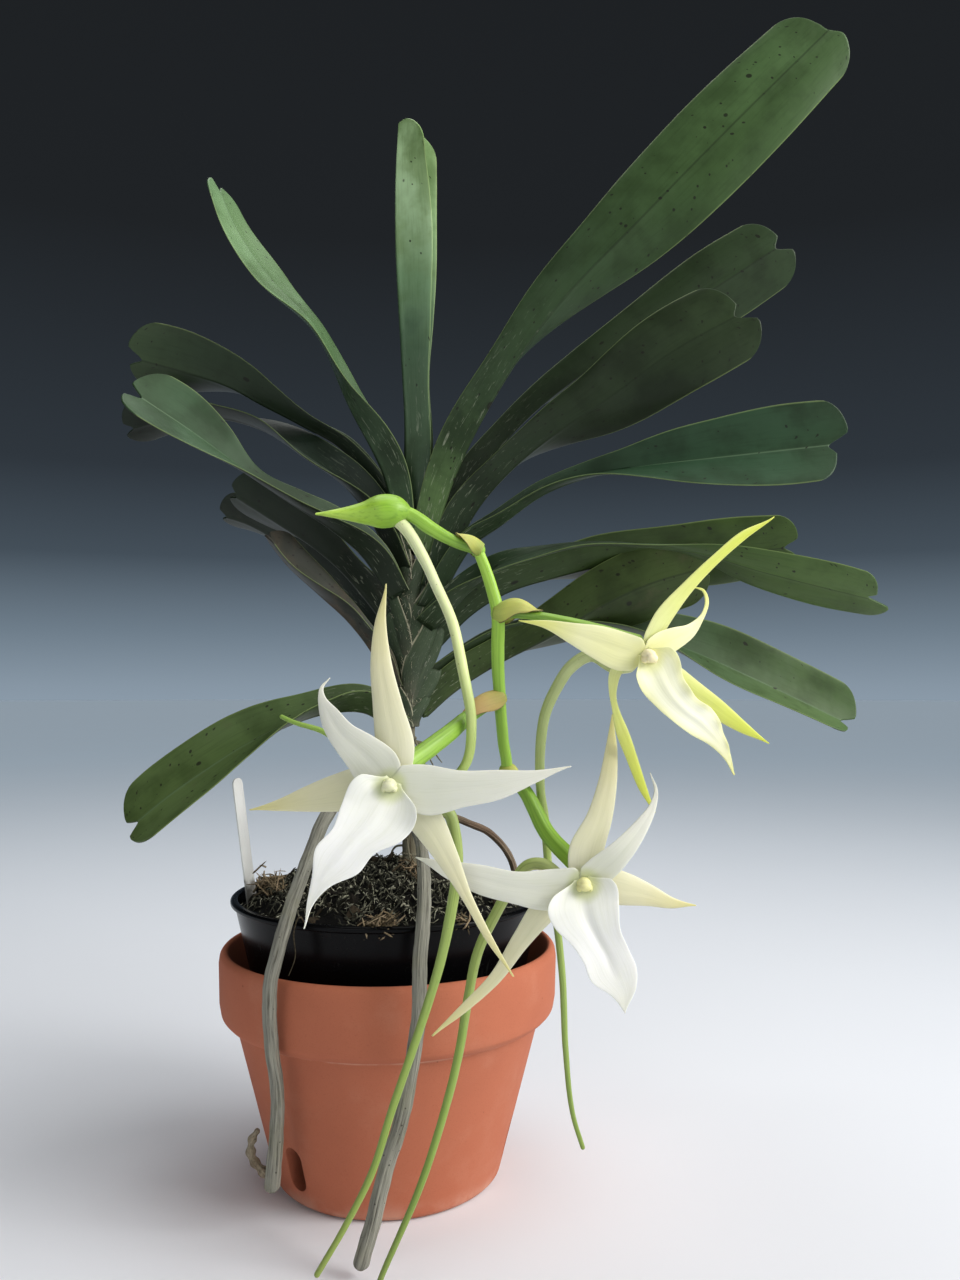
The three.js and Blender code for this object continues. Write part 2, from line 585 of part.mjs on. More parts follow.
function bract({ foot, tip, length }) {
  const start = vector(foot);
  const heading = vector(tip).sub(start).normalize();
  const side = heading.clone().cross(new THREE.Vector3(0, 0, 1)).normalize();
  const above = side.clone().cross(heading).normalize();
  const point = (u, v) => {
    const spread = THREE.MathUtils.degToRad(105 * (1 - 0.5 * u)) * (2 * v - 1);
    const reach = 4.4 * (1 - 0.25 * u) + 2.6 * Math.sin(Math.PI * Math.min(u * 1.4, 1));
    return start.clone().addScaledVector(heading, length * u - 0.5)
      .addScaledVector(side, 4.6 * (1 - 0.2 * u) * Math.sin(spread))
      .addScaledVector(above, reach * Math.cos(spread));
  };
  return toSolid(sheet(point, 5, 6, 0.7));
}

// Bud: an unopened flower with its own spur, which bends down from under it
const BUD = {
  route: [[16, -121.2, 355], [10, -122, 355], [-4, -124, 352.5], [-24, -128, 351.5]],
  radii: [3, 7.6, 8, 5.2, 3.2, 1.8, 0.5],
  spur: [[13, -121, 350], [18, -122, 344], [26, -123, 331], [32, -125, 318], [39, -128, 302],
    [44, -134, 280], [48, -137, 255], [45, -137, 237], [33, -135, 227], [11, -134, 231], [-10, -133, 246],
    [-19, -132, 252], [-32, -131, 256], [-39, -130, 259]],
  spurRadii: [3.2, 2.6, 2.6, 2.4, 2, 1.6, 1],
};

// Roots: thick aerial roots from the cane, two of them hanging over the rim
const ROOTS = [
  {
    name: 'root_left', radii: [3.4, 3.6, 3.7, 3.6, 3.4], tone: 'root', steps: 20,
    route: [[8, -2, 212], [-2, -28, 219], [-17, -52, 218], [-27, -66, 206], [-34, -76, 187], [-41, -86, 165],
      [-46, -91, 146], [-50, -92, 127], [-50, -88, 99], [-48, -82, 73], [-49, -78, 51], [-52, -74, 21]],
  },
  {
    name: 'root_front', radii: [3, 3.6, 3.7, 3.7, 3.4], tone: 'root', steps: 20,
    route: [[12, -2, 196], [18, -20, 188], [22, -52, 178], [24, -84, 161], [23, -101, 139], [23, -104, 119],
      [20, -104, 97], [15, -106, 70], [8, -108, 48], [2, -110, 24], [-4, -112, 4]],
  },
  {
    name: 'root_back', radii: [2, 2.2, 2.1], tone: 'rootBrown', steps: 8,
    route: [[13, 3, 200], [31, 12, 197], [46, 16, 191], [56, 20, 186], [66, 24, 176], [72, 27, 164],
      [73, 27, 150]],
  },
];

// The left root has a short curled side root near its end
const ROOT_FORK = { route: [[-51, -75, 30], [-57, -74, 34], [-62, -73, 40], [-60, -72, 49]], radii: [3, 2.6, 2.2] };

const root = ({ route, radii, steps }, grow = 0) => rod(route, radii, 7, steps, grow);

// Plant label: a plain white strip pushed into the medium
const LABEL = { width: 11, thickness: 0.9, length: 83, facing: 75, lean: -7.6, middle: [-81, -9, 179] };

function plantLabel(grow = 0) {
  const { width, thickness, length, facing, lean, middle } = LABEL;
  const geometry = new THREE.BoxGeometry(width + 2 * grow, thickness + 2 * grow, length + 2 * grow);
  geometry.rotateZ(THREE.MathUtils.degToRad(facing));
  geometry.rotateY(THREE.MathUtils.degToRad(lean));
  geometry.translate(...middle);
  return toSolid(geometry);
}

// Assembly
const plant = new THREE.Group();

function add(name, solid, tone, roughness = 0.5, metalness = 0) {
  const material = new THREE.MeshStandardMaterial({ color: COLOURS[tone], roughness, metalness });
  const mesh = new THREE.Mesh(toGeometry(solid), material);
  mesh.name = name;
  plant.add(mesh);
}

const TONES = { leaf_centre: 'leafPale', leaf_left_8: 'leafBrown', leaf_left_9: 'leafOlive' };

const stemTools = [cane(GAP), sheathColumn(GAP)];

add('terracotta_pot', terracottaPot(), 'terracotta', 0.85);
add('inner_pot', innerPot(), 'blackPlastic', 0.25);
add('stem', join([cane(), sheathColumn()]), 'bark', 0.9);

const standing = [cane(GAP), plantLabel(GAP), ...ROOTS.map((spec) => root(spec, GAP))];
add('growing_medium', growingMedium(standing), 'medium', 0.95);
add('plant_label', plantLabel(), 'label', 0.4);

const grownLeaves = [];
for (const spec of LEAVES) {
  const blade = largest(cutAway(leaf(spec), [...stemTools, ...grownLeaves]));
  add(spec.name, blade, TONES[spec.name] ?? 'leaf', 0.45);
  grownLeaves.push(leaf(spec, GAP));
}

for (const spec of ROOTS) {
  const whole = spec.name === 'root_left' ? join([root(spec), rod(ROOT_FORK.route, ROOT_FORK.radii, 6, 5)]) : root(spec);
  add(spec.name, largest(cutAway(whole, stemTools)), spec.tone, 0.85);
}

const budTool = rod(BUD.route, BUD.radii, 8, 10, GAP);
const spikeTools = [...stemTools, budTool, ...FLOWERS.map((flower) => sepalLayer(flower, GAP))];
add('flower_spike', largest(cutAway(flowerSpike(), spikeTools)), 'spike', 0.45);
const bractTools = [flowerSpike(GAP)];
for (const spec of BRACTS) add(spec.name, largest(cutAway(bract(spec), bractTools)), spec.tone, 0.6);
add('bud', rod(BUD.route, BUD.radii, 8, 10), 'bud', 0.4);
add('bud_spur', largest(cutAway(rod(BUD.spur, BUD.spurRadii, 6, 26), [budTool])), 'budSpur', 0.4);

for (const flower of FLOWERS) {
  for (const { name, solid, tone } of flowerPieces(flower)) add(name, solid, tone, 0.5);
}

export default plant;
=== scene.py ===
"""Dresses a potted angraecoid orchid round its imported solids.

A terracotta pot holds a glossy black inner pot of bark and moss. From it stand a stem of old leaf
sheaths, seventeen strap leaves, aerial roots, and a zigzag spike with three spurred star flowers and
a bud. Shapes are given in millimetres, as in the part's source, and become metres in the meshes.
"""

import logging
import math
from dataclasses import dataclass, field
from enum import Enum
from random import Random
from typing import Any, Callable, Mapping, Optional, Sequence, Union

import bmesh
import bpy
import numpy as np
from mathutils import Euler, Matrix, Vector

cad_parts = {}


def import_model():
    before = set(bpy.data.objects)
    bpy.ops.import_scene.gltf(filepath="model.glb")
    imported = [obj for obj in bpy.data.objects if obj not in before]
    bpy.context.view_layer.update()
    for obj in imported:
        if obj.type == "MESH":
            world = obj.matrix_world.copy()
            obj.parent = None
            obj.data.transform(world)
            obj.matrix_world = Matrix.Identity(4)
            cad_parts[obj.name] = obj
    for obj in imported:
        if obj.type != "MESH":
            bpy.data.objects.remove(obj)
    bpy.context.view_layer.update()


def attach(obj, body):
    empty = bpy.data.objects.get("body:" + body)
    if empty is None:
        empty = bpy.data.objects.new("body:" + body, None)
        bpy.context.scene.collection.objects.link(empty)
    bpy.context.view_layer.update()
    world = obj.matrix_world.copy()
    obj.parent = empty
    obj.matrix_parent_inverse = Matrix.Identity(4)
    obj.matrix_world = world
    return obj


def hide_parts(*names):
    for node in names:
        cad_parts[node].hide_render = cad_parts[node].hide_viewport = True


MM = 0.001
MERGE_REACH = 1e-6
Point = tuple[float, float, float]
Array = np.ndarray
log = logging.getLogger("orchid")


# Curves and directions


def glide(here: Array, there: Array, leave: Array, arrive: Array, t: Array) -> Array:
    """Passes smoothly from one value to the next.

    Args:
        here: The first value.
        there: The next value.
        leave: The slope at the first.
        arrive: The slope at the next.
        t: The share of the way, from 0 to 1.

    Returns:
        The values on the way.
    """
    square = (3 * (there - here) - 2 * leave - arrive) * t**2
    return here + leave * t + square + (2 * (here - there) + leave + arrive) * t**3


def spread(values: Sequence[float], share: Array) -> Array:
    """Reads values that are spread evenly from 0 to 1 as one smooth curve.

    Args:
        values: The values, first to last.
        share: Where to read them, from 0 to 1.

    Returns:
        The smoothed values at those shares.
    """
    knots = np.asarray(values, float)
    place = np.clip(share, 0, 1) * (len(knots) - 1)
    left = np.minimum(place.astype(int), len(knots) - 2)
    here, there = knots[left], knots[left + 1]
    leave = (there - knots[np.maximum(left - 1, 0)]) / 2
    arrive = (knots[np.minimum(left + 2, len(knots) - 1)] - here) / 2
    return glide(here, there, leave, arrive, place - left)


def smoothstep(value: Array, low: float, high: float) -> Array:
    """Rises smoothly from 0 at low to 1 at high."""
    t = np.clip((value - low) / (high - low), 0, 1)
    return t * t * (3 - 2 * t)


def unit(vectors: Array) -> Array:
    """Returns the vectors at length 1."""
    return vectors / np.linalg.norm(vectors, axis=-1, keepdims=True)


@dataclass
class Route:
    """A smooth line in space, read by its share of the whole length.

    Attributes:
        places: Points close together along the line, in millimetres.
    """

    places: Array
    reach: Array = field(init=False)
    length: float = field(init=False)
    headings: Array = field(init=False)
    sides: Array = field(init=False)

    def __post_init__(self) -> None:
        """Measures the line, and carries a side direction along it with as little turn as possible."""
        steps = np.linalg.norm(np.diff(self.places, axis=0), axis=1)
        self.reach = np.concatenate([[0.0], np.cumsum(steps)])
        self.length = float(self.reach[-1])
        self.headings = unit(np.gradient(self.places, self.reach, axis=0))
        side = np.cross(self.headings[0], (0.3, 0.9, 0.31))
        sides = []
        for heading in self.headings:
            side = side - heading * np.dot(side, heading)
            side = side / np.linalg.norm(side)
            sides.append(side)
        self.sides = np.array(sides)

    @classmethod
    def through(cls, points: Sequence[Sequence[float]], steps: int = 24) -> "Route":
        """Joins a few points with a smooth curve.

        Args:
            points: The points, in millimetres.
            steps: Places between two points.

        Returns:
            The route through them.
        """
        knots = np.asarray(points, float)
        padded = np.vstack([2 * knots[0] - knots[1], knots, 2 * knots[-1] - knots[-2]])
        gaps = np.sqrt(np.linalg.norm(np.diff(padded, axis=0), axis=1))
        t = np.linspace(0, 1, steps, endpoint=False)[:, None]
        pieces = []
        for k in range(len(knots) - 1):
            before, here, there, after = padded[k : k + 4]
            first, middle, last = gaps[k : k + 3]
            ahead = (there - here) / middle
            leave = ((here - before) / first - (there - before) / (first + middle) + ahead) * middle
            arrive = (ahead - (after - here) / (middle + last) + (after - there) / last) * middle
            pieces.append(glide(here, there, leave, arrive, t))
        return cls(np.vstack([*pieces, knots[-1:]]))

    @classmethod
    def bowed(cls, start: Array, bend: Array, end: Array, steps: int = 60) -> "Route":
        """Bows from start to end, pulled towards bend."""
        t = np.linspace(0, 1, steps)[:, None]
        return cls((1 - t) ** 2 * start + 2 * t * (1 - t) * bend + t**2 * end)

    def at(self, share: Array, lines: Optional[Array] = None) -> Array:
        """Reads the line, or directions kept along it, at shares of its length.

        Args:
            share: Shares from 0 to 1.
            lines: The headings or sides of this route; its places where left out.

        Returns:
            One row for each share.
        """
        rows = self.places if lines is None else lines
        reach = np.clip(share, 0, 1) * self.length
        return np.stack([np.interp(reach, self.reach, rows[:, axis]) for axis in range(3)], -1)


# Meshes


def stand(name: str, data: Any) -> bpy.types.Object:
    """Makes an object of a mesh, a light or a camera, and links it to the scene.

    Args:
        name: The object's name.
        data: The mesh, light or camera.

    Returns:
        The object.
    """
    thing = bpy.data.objects.new(name, data)
    bpy.context.scene.collection.objects.link(thing)
    return thing


def close_up(part: bmesh.types.BMesh) -> None:
    """Merges the vertices of seams and poles, and turns the faces outwards."""
    bmesh.ops.remove_doubles(part, verts=part.verts, dist=MERGE_REACH)
    bmesh.ops.recalc_face_normals(part, faces=part.faces)


def bevel(part: bmesh.types.BMesh, edges: Sequence[bmesh.types.BMEdge], width: float, segments: int) -> None:
    """Rounds edges.

    Args:
        part: The shape.
        edges: Its edges to round.
        width: The width of the rounding, in the shape's own units.
        segments: Faces across it.
    """
    bmesh.ops.bevel(
        part, geom=edges, offset=width, offset_type="OFFSET", segments=segments, profile=0.5,
        affect="EDGES", material=-1, clamp_overlap=True,
    )


@dataclass
class Sleeve:
    """What a wrapped grid becomes: places in millimetres and the readings for its finish."""

    places: Array
    share: Array
    grain: Array


class Skin:
    """One piece under way: shapes from bmesh operators, gathered with the readings of its finish.

    The share reading holds across, along and face, or what a piece's finish says. The grain reading
    holds the same place on the straightened shape in metres, so that streaks follow the shape.

    Attributes:
        READINGS: The names of the readings.
        THINNEST: The least radius of a rod, in millimetres.
        SHORTEST_END: The least share of a blade's length over which its ends are rounded.
        PROBE: The step, as a share, over which a surface's slopes are measured.
        ON_EDGE: The sine of the angle below which a vertex lies on a blade's edge.
        BALL_LEVEL: How often a ball's faces are divided.
    """

    READINGS = ("share", "grain")
    THINNEST = 0.12
    SHORTEST_END = 0.004
    PROBE = 1e-3
    ON_EDGE = 1e-6
    BALL_LEVEL = 3

    def __init__(self) -> None:
        """Starts an empty piece."""
        self.mesh = self.blank()

    def blank(self) -> bmesh.types.BMesh:
        """Starts an empty mesh that has the two readings.

        Returns:
            The mesh.
        """
        part = bmesh.new()
        for name in self.READINGS:
            part.verts.layers.float_vector.new(name)
        return part

    def take(self, part: bmesh.types.BMesh) -> None:
        """Adds a finished shape to the piece and frees it.

        Args:
            part: The shape.
        """
        carrier = bpy.data.meshes.new("carrier")
        part.to_mesh(carrier)
        part.free()
        self.mesh.from_mesh(carrier)
        bpy.data.meshes.remove(carrier)

    def sleeve(self, rings: int, around: int, place: Callable[[Array, Array], Sleeve]) -> None:
        """Adds a closed shape: a grid wrapped round, with its seam and its drawn-in ends merged.

        Args:
            rings: Faces along it.
            around: Faces round it.
            place: Says where each vertex goes, from its share along and its angle around.
        """
        part = self.blank()
        bmesh.ops.create_grid(part, x_segments=rings, y_segments=around, size=0.5)
        flat = np.array([vertex.co[:] for vertex in part.verts])
        made = place(flat[:, 0] + 0.5, 2 * np.pi * (flat[:, 1] + 0.5))
        share, grain = (part.verts.layers.float_vector[name] for name in self.READINGS)
        for k, vertex in enumerate(part.verts):
            vertex.co = made.places[k] * MM
            vertex[share] = made.share[k]
            vertex[grain] = made.grain[k]
        close_up(part)
        self.take(part)

    def rod(
        self,
        route: Route,
        radii: Sequence[float],
        rings: int = 60,
        around: int = 18,
        wobble: float = 0.0,
        flute: tuple[int, float] = (3, 0.0),
        seed: float = 0.0,
    ) -> None:
        """Adds a rod along a route, with rounded ends.

        Args:
            route: Its middle line.
            radii: Radii spread evenly along it, in millimetres.
            rings: Faces along it.
            around: Faces round it.
            wobble: How uneven its radius is, as a share.
            flute: How many grooves run along it, and how deep they are, as a share.
            seed: Shifts the unevenness.
        """

        def place(along: Array, angle: Array) -> Sleeve:
            """Puts the grid's vertices round the line.

            Args:
                along: Shares along it, 0 to 1.
                angle: Angles round it, in radians.

            Returns:
                The rod's places and readings.
            """
            share = 0.5 - 0.5 * np.cos(np.pi * along)
            radius = np.maximum(spread(radii, share), self.THINNEST)
            ends = np.minimum(share, 1 - share) * route.length / radius
            closing = np.sqrt(np.clip(1 - (1 - np.clip(ends, 0, 1)) ** 2, 0, 1))
            bumps = np.sin(share * route.length * 0.33 + 2 * np.sin(angle + seed) + seed)
            bumps = bumps + 0.6 * np.sin(share * route.length * 0.71 + 1.7 * seed + np.cos(2 * angle))
            grooves = 1 - flute[1] * (0.5 - 0.5 * np.cos(flute[0] * angle + seed))
            size = radius * closing * grooves * (1 + wobble * bumps * 0.6)
            side = unit(route.at(share, route.sides))
            other = np.cross(unit(route.at(share, route.headings)), side)
            spot = route.at(share) + size[:, None] * (
                side * np.cos(angle)[:, None] + other * np.sin(angle)[:, None]
            )
            drawn = np.stack([radius * np.cos(angle), radius * np.sin(angle)], -1) * MM
            grain = np.column_stack([drawn, share * route.length * MM + seed])
            return Sleeve(spot, np.stack([closing, share, np.sin(angle)], -1), grain)

        self.sleeve(rings, around, place)

    def blade(
        self,
        middle: Callable[[Array, Array], Array],
        rings: int,
        around: int,
        thickness: float,
        length: float,
        half: float,
        face: int = 1,
        gather: float = 1.0,
        keel: float = 0.0,
        heart: Optional[Array] = None,
        seed: float = 0.0,
    ) -> None:
        """Adds a thin blade with rounded edges round a surface.

        Args:
            middle: Gives the places of the surface from the share along and across, -1 to 1.
            rings: Faces along it.
            around: Faces round both of its sides.
            thickness: Its thickness in millimetres.
            length: Its length in millimetres.
            half: Its half width in millimetres.
            face: 1 or -1, which turns its upper face over.
            gather: Over 1 brings points closer to its middle line.
            keel: How far a ridge stands out along the middle of its lower face, in millimetres.
            heart: A place whose distance the grain's third number holds, or none.
            seed: Shifts the grain.
        """
        close = max(thickness / length, self.SHORTEST_END)

        def place(along: Array, angle: Array) -> Sleeve:
            """Puts the grid's vertices on both sides of the surface.

            Args:
                along: Shares along it, 0 to 1.
                angle: Angles round its cross-section, in radians: the upper face is below pi.

            Returns:
                The blade's places and readings.
            """
            cosine = np.round(np.cos(angle), 9)
            across = np.sign(cosine) * np.abs(cosine) ** gather
            ends = np.clip(np.minimum(along, 1 - along) / close, 0, 1)
            edge = np.sqrt(np.clip(1 - np.abs(across) ** 8, 0, 1)) * np.sqrt(1 - (1 - ends) ** 2)
            before, after = np.maximum(along - self.PROBE, 0), np.minimum(along + self.PROBE, 1)
            left, right = np.maximum(across - self.PROBE, -1), np.minimum(across + self.PROBE, 1)
            forward = middle(after, across) - middle(before, across)
            sideways = middle(along, right) - middle(along, left)
            normal = face * unit(np.cross(sideways, forward) + 1e-12)
            upper = np.where(np.abs(np.sin(angle)) < self.ON_EDGE, 0, np.sign(np.sin(angle)))
            ridge = keel * np.exp(-((across / 0.07) ** 2)) * (upper < 0)
            lift = upper * (thickness / 2 + ridge) * edge
            spot = middle(along, across) + normal * lift[:, None]
            third = upper * 0.01 + seed if heart is None else np.linalg.norm(spot - heart, axis=1) * MM
            grain = np.stack([across * half * MM, along * length * MM + seed, third], -1)
            return Sleeve(spot, np.stack([across, along, upper], -1), grain)

        self.sleeve(rings, around, place)

    def turned(self, profile: Sequence[tuple[float, float]], steps: int) -> bmesh.types.BMesh:
        """Spins a profile of radius and height into a closed shape, which is returned, not added.

        Args:
            profile: Radius and height of each corner, in millimetres.
            steps: Faces round it.

        Returns:
            The shape.
        """
        part = self.blank()
        verts = [part.verts.new((radius * MM, 0, height * MM)) for radius, height in profile]
        edges = [part.edges.new(pair) for pair in zip(verts, verts[1:])]
        bmesh.ops.spin(
            part, geom=[*verts, *edges], cent=(0, 0, 0), axis=(0, 0, 1), angle=math.tau, steps=steps,
            use_merge=True,
        )
        close_up(part)
        return part

    def ball(self, middle: Point, radii: Point, turn: Point) -> None:
        """Adds a squashed ball.

        Args:
            middle: Its middle, in millimetres.
            radii: Its radii, in millimetres.
            turn: Its turn about each axis, in radians.
        """
        part = self.blank()
        size = Matrix.Diagonal((*radii, 1)) * MM
        size[3][3] = 1
        place = Matrix.Translation(Vector(middle) * MM) @ Euler(turn).to_matrix().to_4x4() @ size
        bmesh.ops.create_icosphere(part, subdivisions=self.BALL_LEVEL, radius=1)
        share, grain = (part.verts.layers.float_vector[name] for name in self.READINGS)
        for vertex in part.verts:
            vertex[share] = (vertex.co.x, 0.5 + vertex.co.z / 2, vertex.co.y)
            vertex[grain] = vertex.co * max(radii) * MM
        bmesh.ops.transform(part, matrix=place, verts=part.verts)
        self.take(part)

    def piece(
        self,
        name: str,
        finish: bpy.types.Material,
        slot: str,
        nodes: Sequence[str],
        crease: Optional[float] = None,
    ) -> None:
        """Makes the gathered mesh one object that stands for its solids.

        Args:
            name: The object's name.
            finish: Its material.
            slot: The record's material slot; not used.
            nodes: The solids that it stands for.
            crease: The angle in degrees from which an edge looks sharp, or none.
        """
        data = bpy.data.meshes.new(name)
        self.mesh.to_mesh(data)
        self.mesh.free()
        data.shade_smooth()
        if crease is not None:
            data.set_sharp_from_angle(angle=math.radians(crease))
        data.materials.append(finish)
        thing = stand(name, data)
        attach(thing, "root")
        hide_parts(*nodes)
        log.info("%s: %d faces", name, len(data.polygons))


# Shader nodes


def paint(code: str) -> tuple[float, float, float, float]:
    """Turns a hex colour into the linear colour that shaders take.

    Args:
        code: The colour as it looks, such as #a0b1c2.

    Returns:
        Linear red, green and blue, and full opacity.
    """
    parts = [int(code[k : k + 2], 16) / 255 for k in (1, 3, 5)]
    linear = [part / 12.92 if part <= 0.04045 else ((part + 0.055) / 1.055) ** 2.4 for part in parts]
    return (linear[0], linear[1], linear[2], 1.0)


class Reading:
    """A number that changes over a surface, with Python's own arithmetic."""

    def __init__(self, bench: "Bench", socket: bpy.types.NodeSocket) -> None:
        """Wraps an output socket of a bench's material."""
        self.bench = bench
        self.socket = socket

    def __add__(self, other: "Number") -> "Reading":
        """Adds."""
        return self.bench.maths("ADD", self, other)

    def __sub__(self, other: "Number") -> "Reading":
        """Subtracts."""
        return self.bench.maths("SUBTRACT", self, other)

    def __rsub__(self, other: "Number") -> "Reading":
        """Subtracts from a plain number."""
        return self.bench.maths("SUBTRACT", other, self)

    def __mul__(self, other: "Number") -> "Reading":
        """Multiplies."""
        return self.bench.maths("MULTIPLY", self, other)

    def __truediv__(self, other: "Number") -> "Reading":
        """Divides."""
        return self.bench.maths("DIVIDE", self, other)

    def __pow__(self, other: "Number") -> "Reading":
        """Raises to a power."""
        return self.bench.maths("POWER", self, other)

    def __abs__(self) -> "Reading":
        """Drops the sign."""
        return self.bench.maths("ABSOLUTE", self)

    __radd__ = __add__
    __rmul__ = __mul__


Number = Union[Reading, float]
Colour = Union[str, bpy.types.NodeSocket]


class Bench:
    """Builds the nodes of one material, or of the surroundings."""

    def __init__(self, owner: Union[bpy.types.Material, bpy.types.World]) -> None:
        """Clears the nodes of what it works on.

        Args:
            owner: The material or the surroundings.
        """
        self.owner = owner
        self.owner.use_nodes = True
        self.tree = self.owner.node_tree
        self.tree.nodes.clear()

    @classmethod
    def material(cls, name: str) -> "Bench":
        """Starts a new material."""
        return cls(bpy.data.materials.new(name))

    def node(
        self,
        kind: str,
        settings: Optional[Mapping[str, Any]] = None,
        sockets: Optional[Mapping[Union[str, int], Any]] = None,
    ) -> bpy.types.Node:
        """Adds a node.

        Args:
            kind: The node's type.
            settings: Its settings, set first. The stops of a ramp are pairs of place and colour.
            sockets: Values or links of its inputs.

        Returns:
            The node.
        """
        node = self.tree.nodes.new(kind)
        for name, value in (settings or {}).items():
            if name == "stops":
                self._set_stops(node.color_ramp, value)
            else:
                setattr(node, name, value)
        for name, value in (sockets or {}).items():
            source = value.socket if isinstance(value, Reading) else value
            if isinstance(source, bpy.types.NodeSocket):
                self.tree.links.new(source, node.inputs[name])
            else:
                node.inputs[name].default_value = paint(source) if isinstance(source, str) else source
        return node

    def _set_stops(self, ramp: bpy.types.ColorRamp, stops: Sequence[tuple[float, str]]) -> None:
        """Gives a ramp its places and colours.

        Args:
            ramp: The ramp.
            stops: Pairs of place and colour, in order.
        """
        while len(ramp.elements) < len(stops):
            ramp.elements.new(1.0)
        for element, (place, code) in zip(ramp.elements, stops):
            element.position = place
            element.color = paint(code)

    def maths(self, operation: str, *terms: Number) -> Reading:
        """Adds one step of arithmetic."""
        node = self.node("ShaderNodeMath", {"operation": operation}, dict(enumerate(terms)))
        return Reading(self, node.outputs[0])

    def clamp(self, value: Number) -> Reading:
        """Keeps a reading between 0 and 1."""
        node = self.node("ShaderNodeClamp", None, {"Value": value})
        return Reading(self, node.outputs[0])

    def rise(self, value: Reading, low: float, high: float) -> Reading:
        """Rises smoothly from 0 at low to 1 at high, or falls where low is the larger.

        Args:
            value: What is read.
            low: Where the result is 0.
            high: Where the result is 1.

        Returns:
            The share, from 0 to 1.
        """
        span = {"From Min": low, "From Max": high} if low < high else {"From Min": high, "From Max": low}
        node = self.node(
            "ShaderNodeMapRange", {"interpolation_type": "SMOOTHSTEP"}, {"Value": value, **span}
        )
        rising = Reading(self, node.outputs[0])
        return rising if low < high else 1 - rising

    def place(self) -> bpy.types.NodeSocket:
        """Reads the place in the part's frame, in metres."""
        return self.node("ShaderNodeTexCoord").outputs["Object"]

    def reading(self, name: str) -> bpy.types.NodeSocket:
        """Reads one of the piece's own readings."""
        node = self.node("ShaderNodeAttribute", {"attribute_type": "GEOMETRY", "attribute_name": name})
        return node.outputs["Vector"]

    def split(self, vector: bpy.types.NodeSocket) -> list[Reading]:
        """Splits a vector into its three numbers."""
        node = self.node("ShaderNodeSeparateXYZ", None, {0: vector})
        return [Reading(self, output) for output in node.outputs]

    def stretch(self, vector: bpy.types.NodeSocket, size: Point) -> bpy.types.NodeSocket:
        """Scales a vector by a different number on each axis."""
        node = self.node("ShaderNodeVectorMath", {"operation": "MULTIPLY"}, {0: vector, 1: size})
        return node.outputs[0]

    def noise(
        self, where: bpy.types.NodeSocket, scale: float, detail: float = 3.0, rough: float = 0.55,
        bend: float = 0.0,
    ) -> Reading:
        """Reads a cloudy noise, from 0 to 1 about 0.5.

        Args:
            where: The coordinates.
            scale: Blotches for each unit of them.
            detail: How many finer layers it has.
            rough: How strong the finer layers are.
            bend: How much it swirls.

        Returns:
            The noise.
        """
        node = self.node(
            "ShaderNodeTexNoise", None,
            {"Vector": where, "Scale": scale, "Detail": detail, "Roughness": rough, "Distortion": bend},
        )
        return Reading(self, node.outputs[0])

    def spots(self, where: bpy.types.NodeSocket, scale: float, share: float, size: float) -> Reading:
        """Scatters soft-edged spots of mixed sizes.

        Args:
            where: The coordinates.
            scale: Cells for each unit of them, each with a spot or none.
            share: The share of cells that have a spot.
            size: The largest spot's radius, as a share of a cell.

        Returns:
            1 in a spot and 0 elsewhere.
        """
        node = self.node("ShaderNodeTexVoronoi", None, {"Vector": where, "Scale": scale})
        chance = self.split(node.outputs["Color"])[0]
        radius = self.clamp((chance - (1 - share)) / share) * size
        return self.rise(radius - Reading(self, node.outputs["Distance"]), 0, size * 0.25)

    def mix(self, factor: Number, first: Colour, second: Colour, way: str = "MIX") -> bpy.types.NodeSocket:
        """Mixes two colours.

        Args:
            factor: The share of the second.
            first: The colour below.
            second: The colour above.
            way: How they mix.

        Returns:
            The mixed colour.
        """
        settings = {"data_type": "RGBA", "blend_type": way, "clamp_factor": True}
        node = self.node("ShaderNodeMix", settings, {0: factor, 6: first, 7: second})
        return node.outputs[2]

    def ramp(self, value: Reading, colours: Sequence[str]) -> bpy.types.NodeSocket:
        """Colours a reading from 0 to 1 with colours spread evenly.

        Args:
            value: What is read.
            colours: The colours, first to last.

        Returns:
            The colour.
        """
        last = max(len(colours) - 1, 1)
        stops = [(k / last, code) for k, code in enumerate(colours)]
        return self.node("ShaderNodeValToRGB", {"stops": stops}, {0: value}).outputs[0]

    def bump(self, height: Reading, millimetres: float, strength: float = 1.0) -> bpy.types.NodeSocket:
        """Raises the surface by a reading, as far as the given height."""
        sockets = {"Strength": strength, "Distance": millimetres * MM, "Height": height}
        return self.node("ShaderNodeBump", None, sockets).outputs[0]

    def surface(self, **sockets: Any) -> bpy.types.Material:
        """Closes the material with its shader.

        Args:
            sockets: Values or links of the shader's inputs, named with underscores for spaces.

        Returns:
            The material.
        """
        named = {name.replace("_", " "): value for name, value in sockets.items()}
        shader = self.node("ShaderNodeBsdfPrincipled", None, named)
        self.node("ShaderNodeOutputMaterial", None, {"Surface": shader.outputs[0]})
        return self.owner


# Finishes


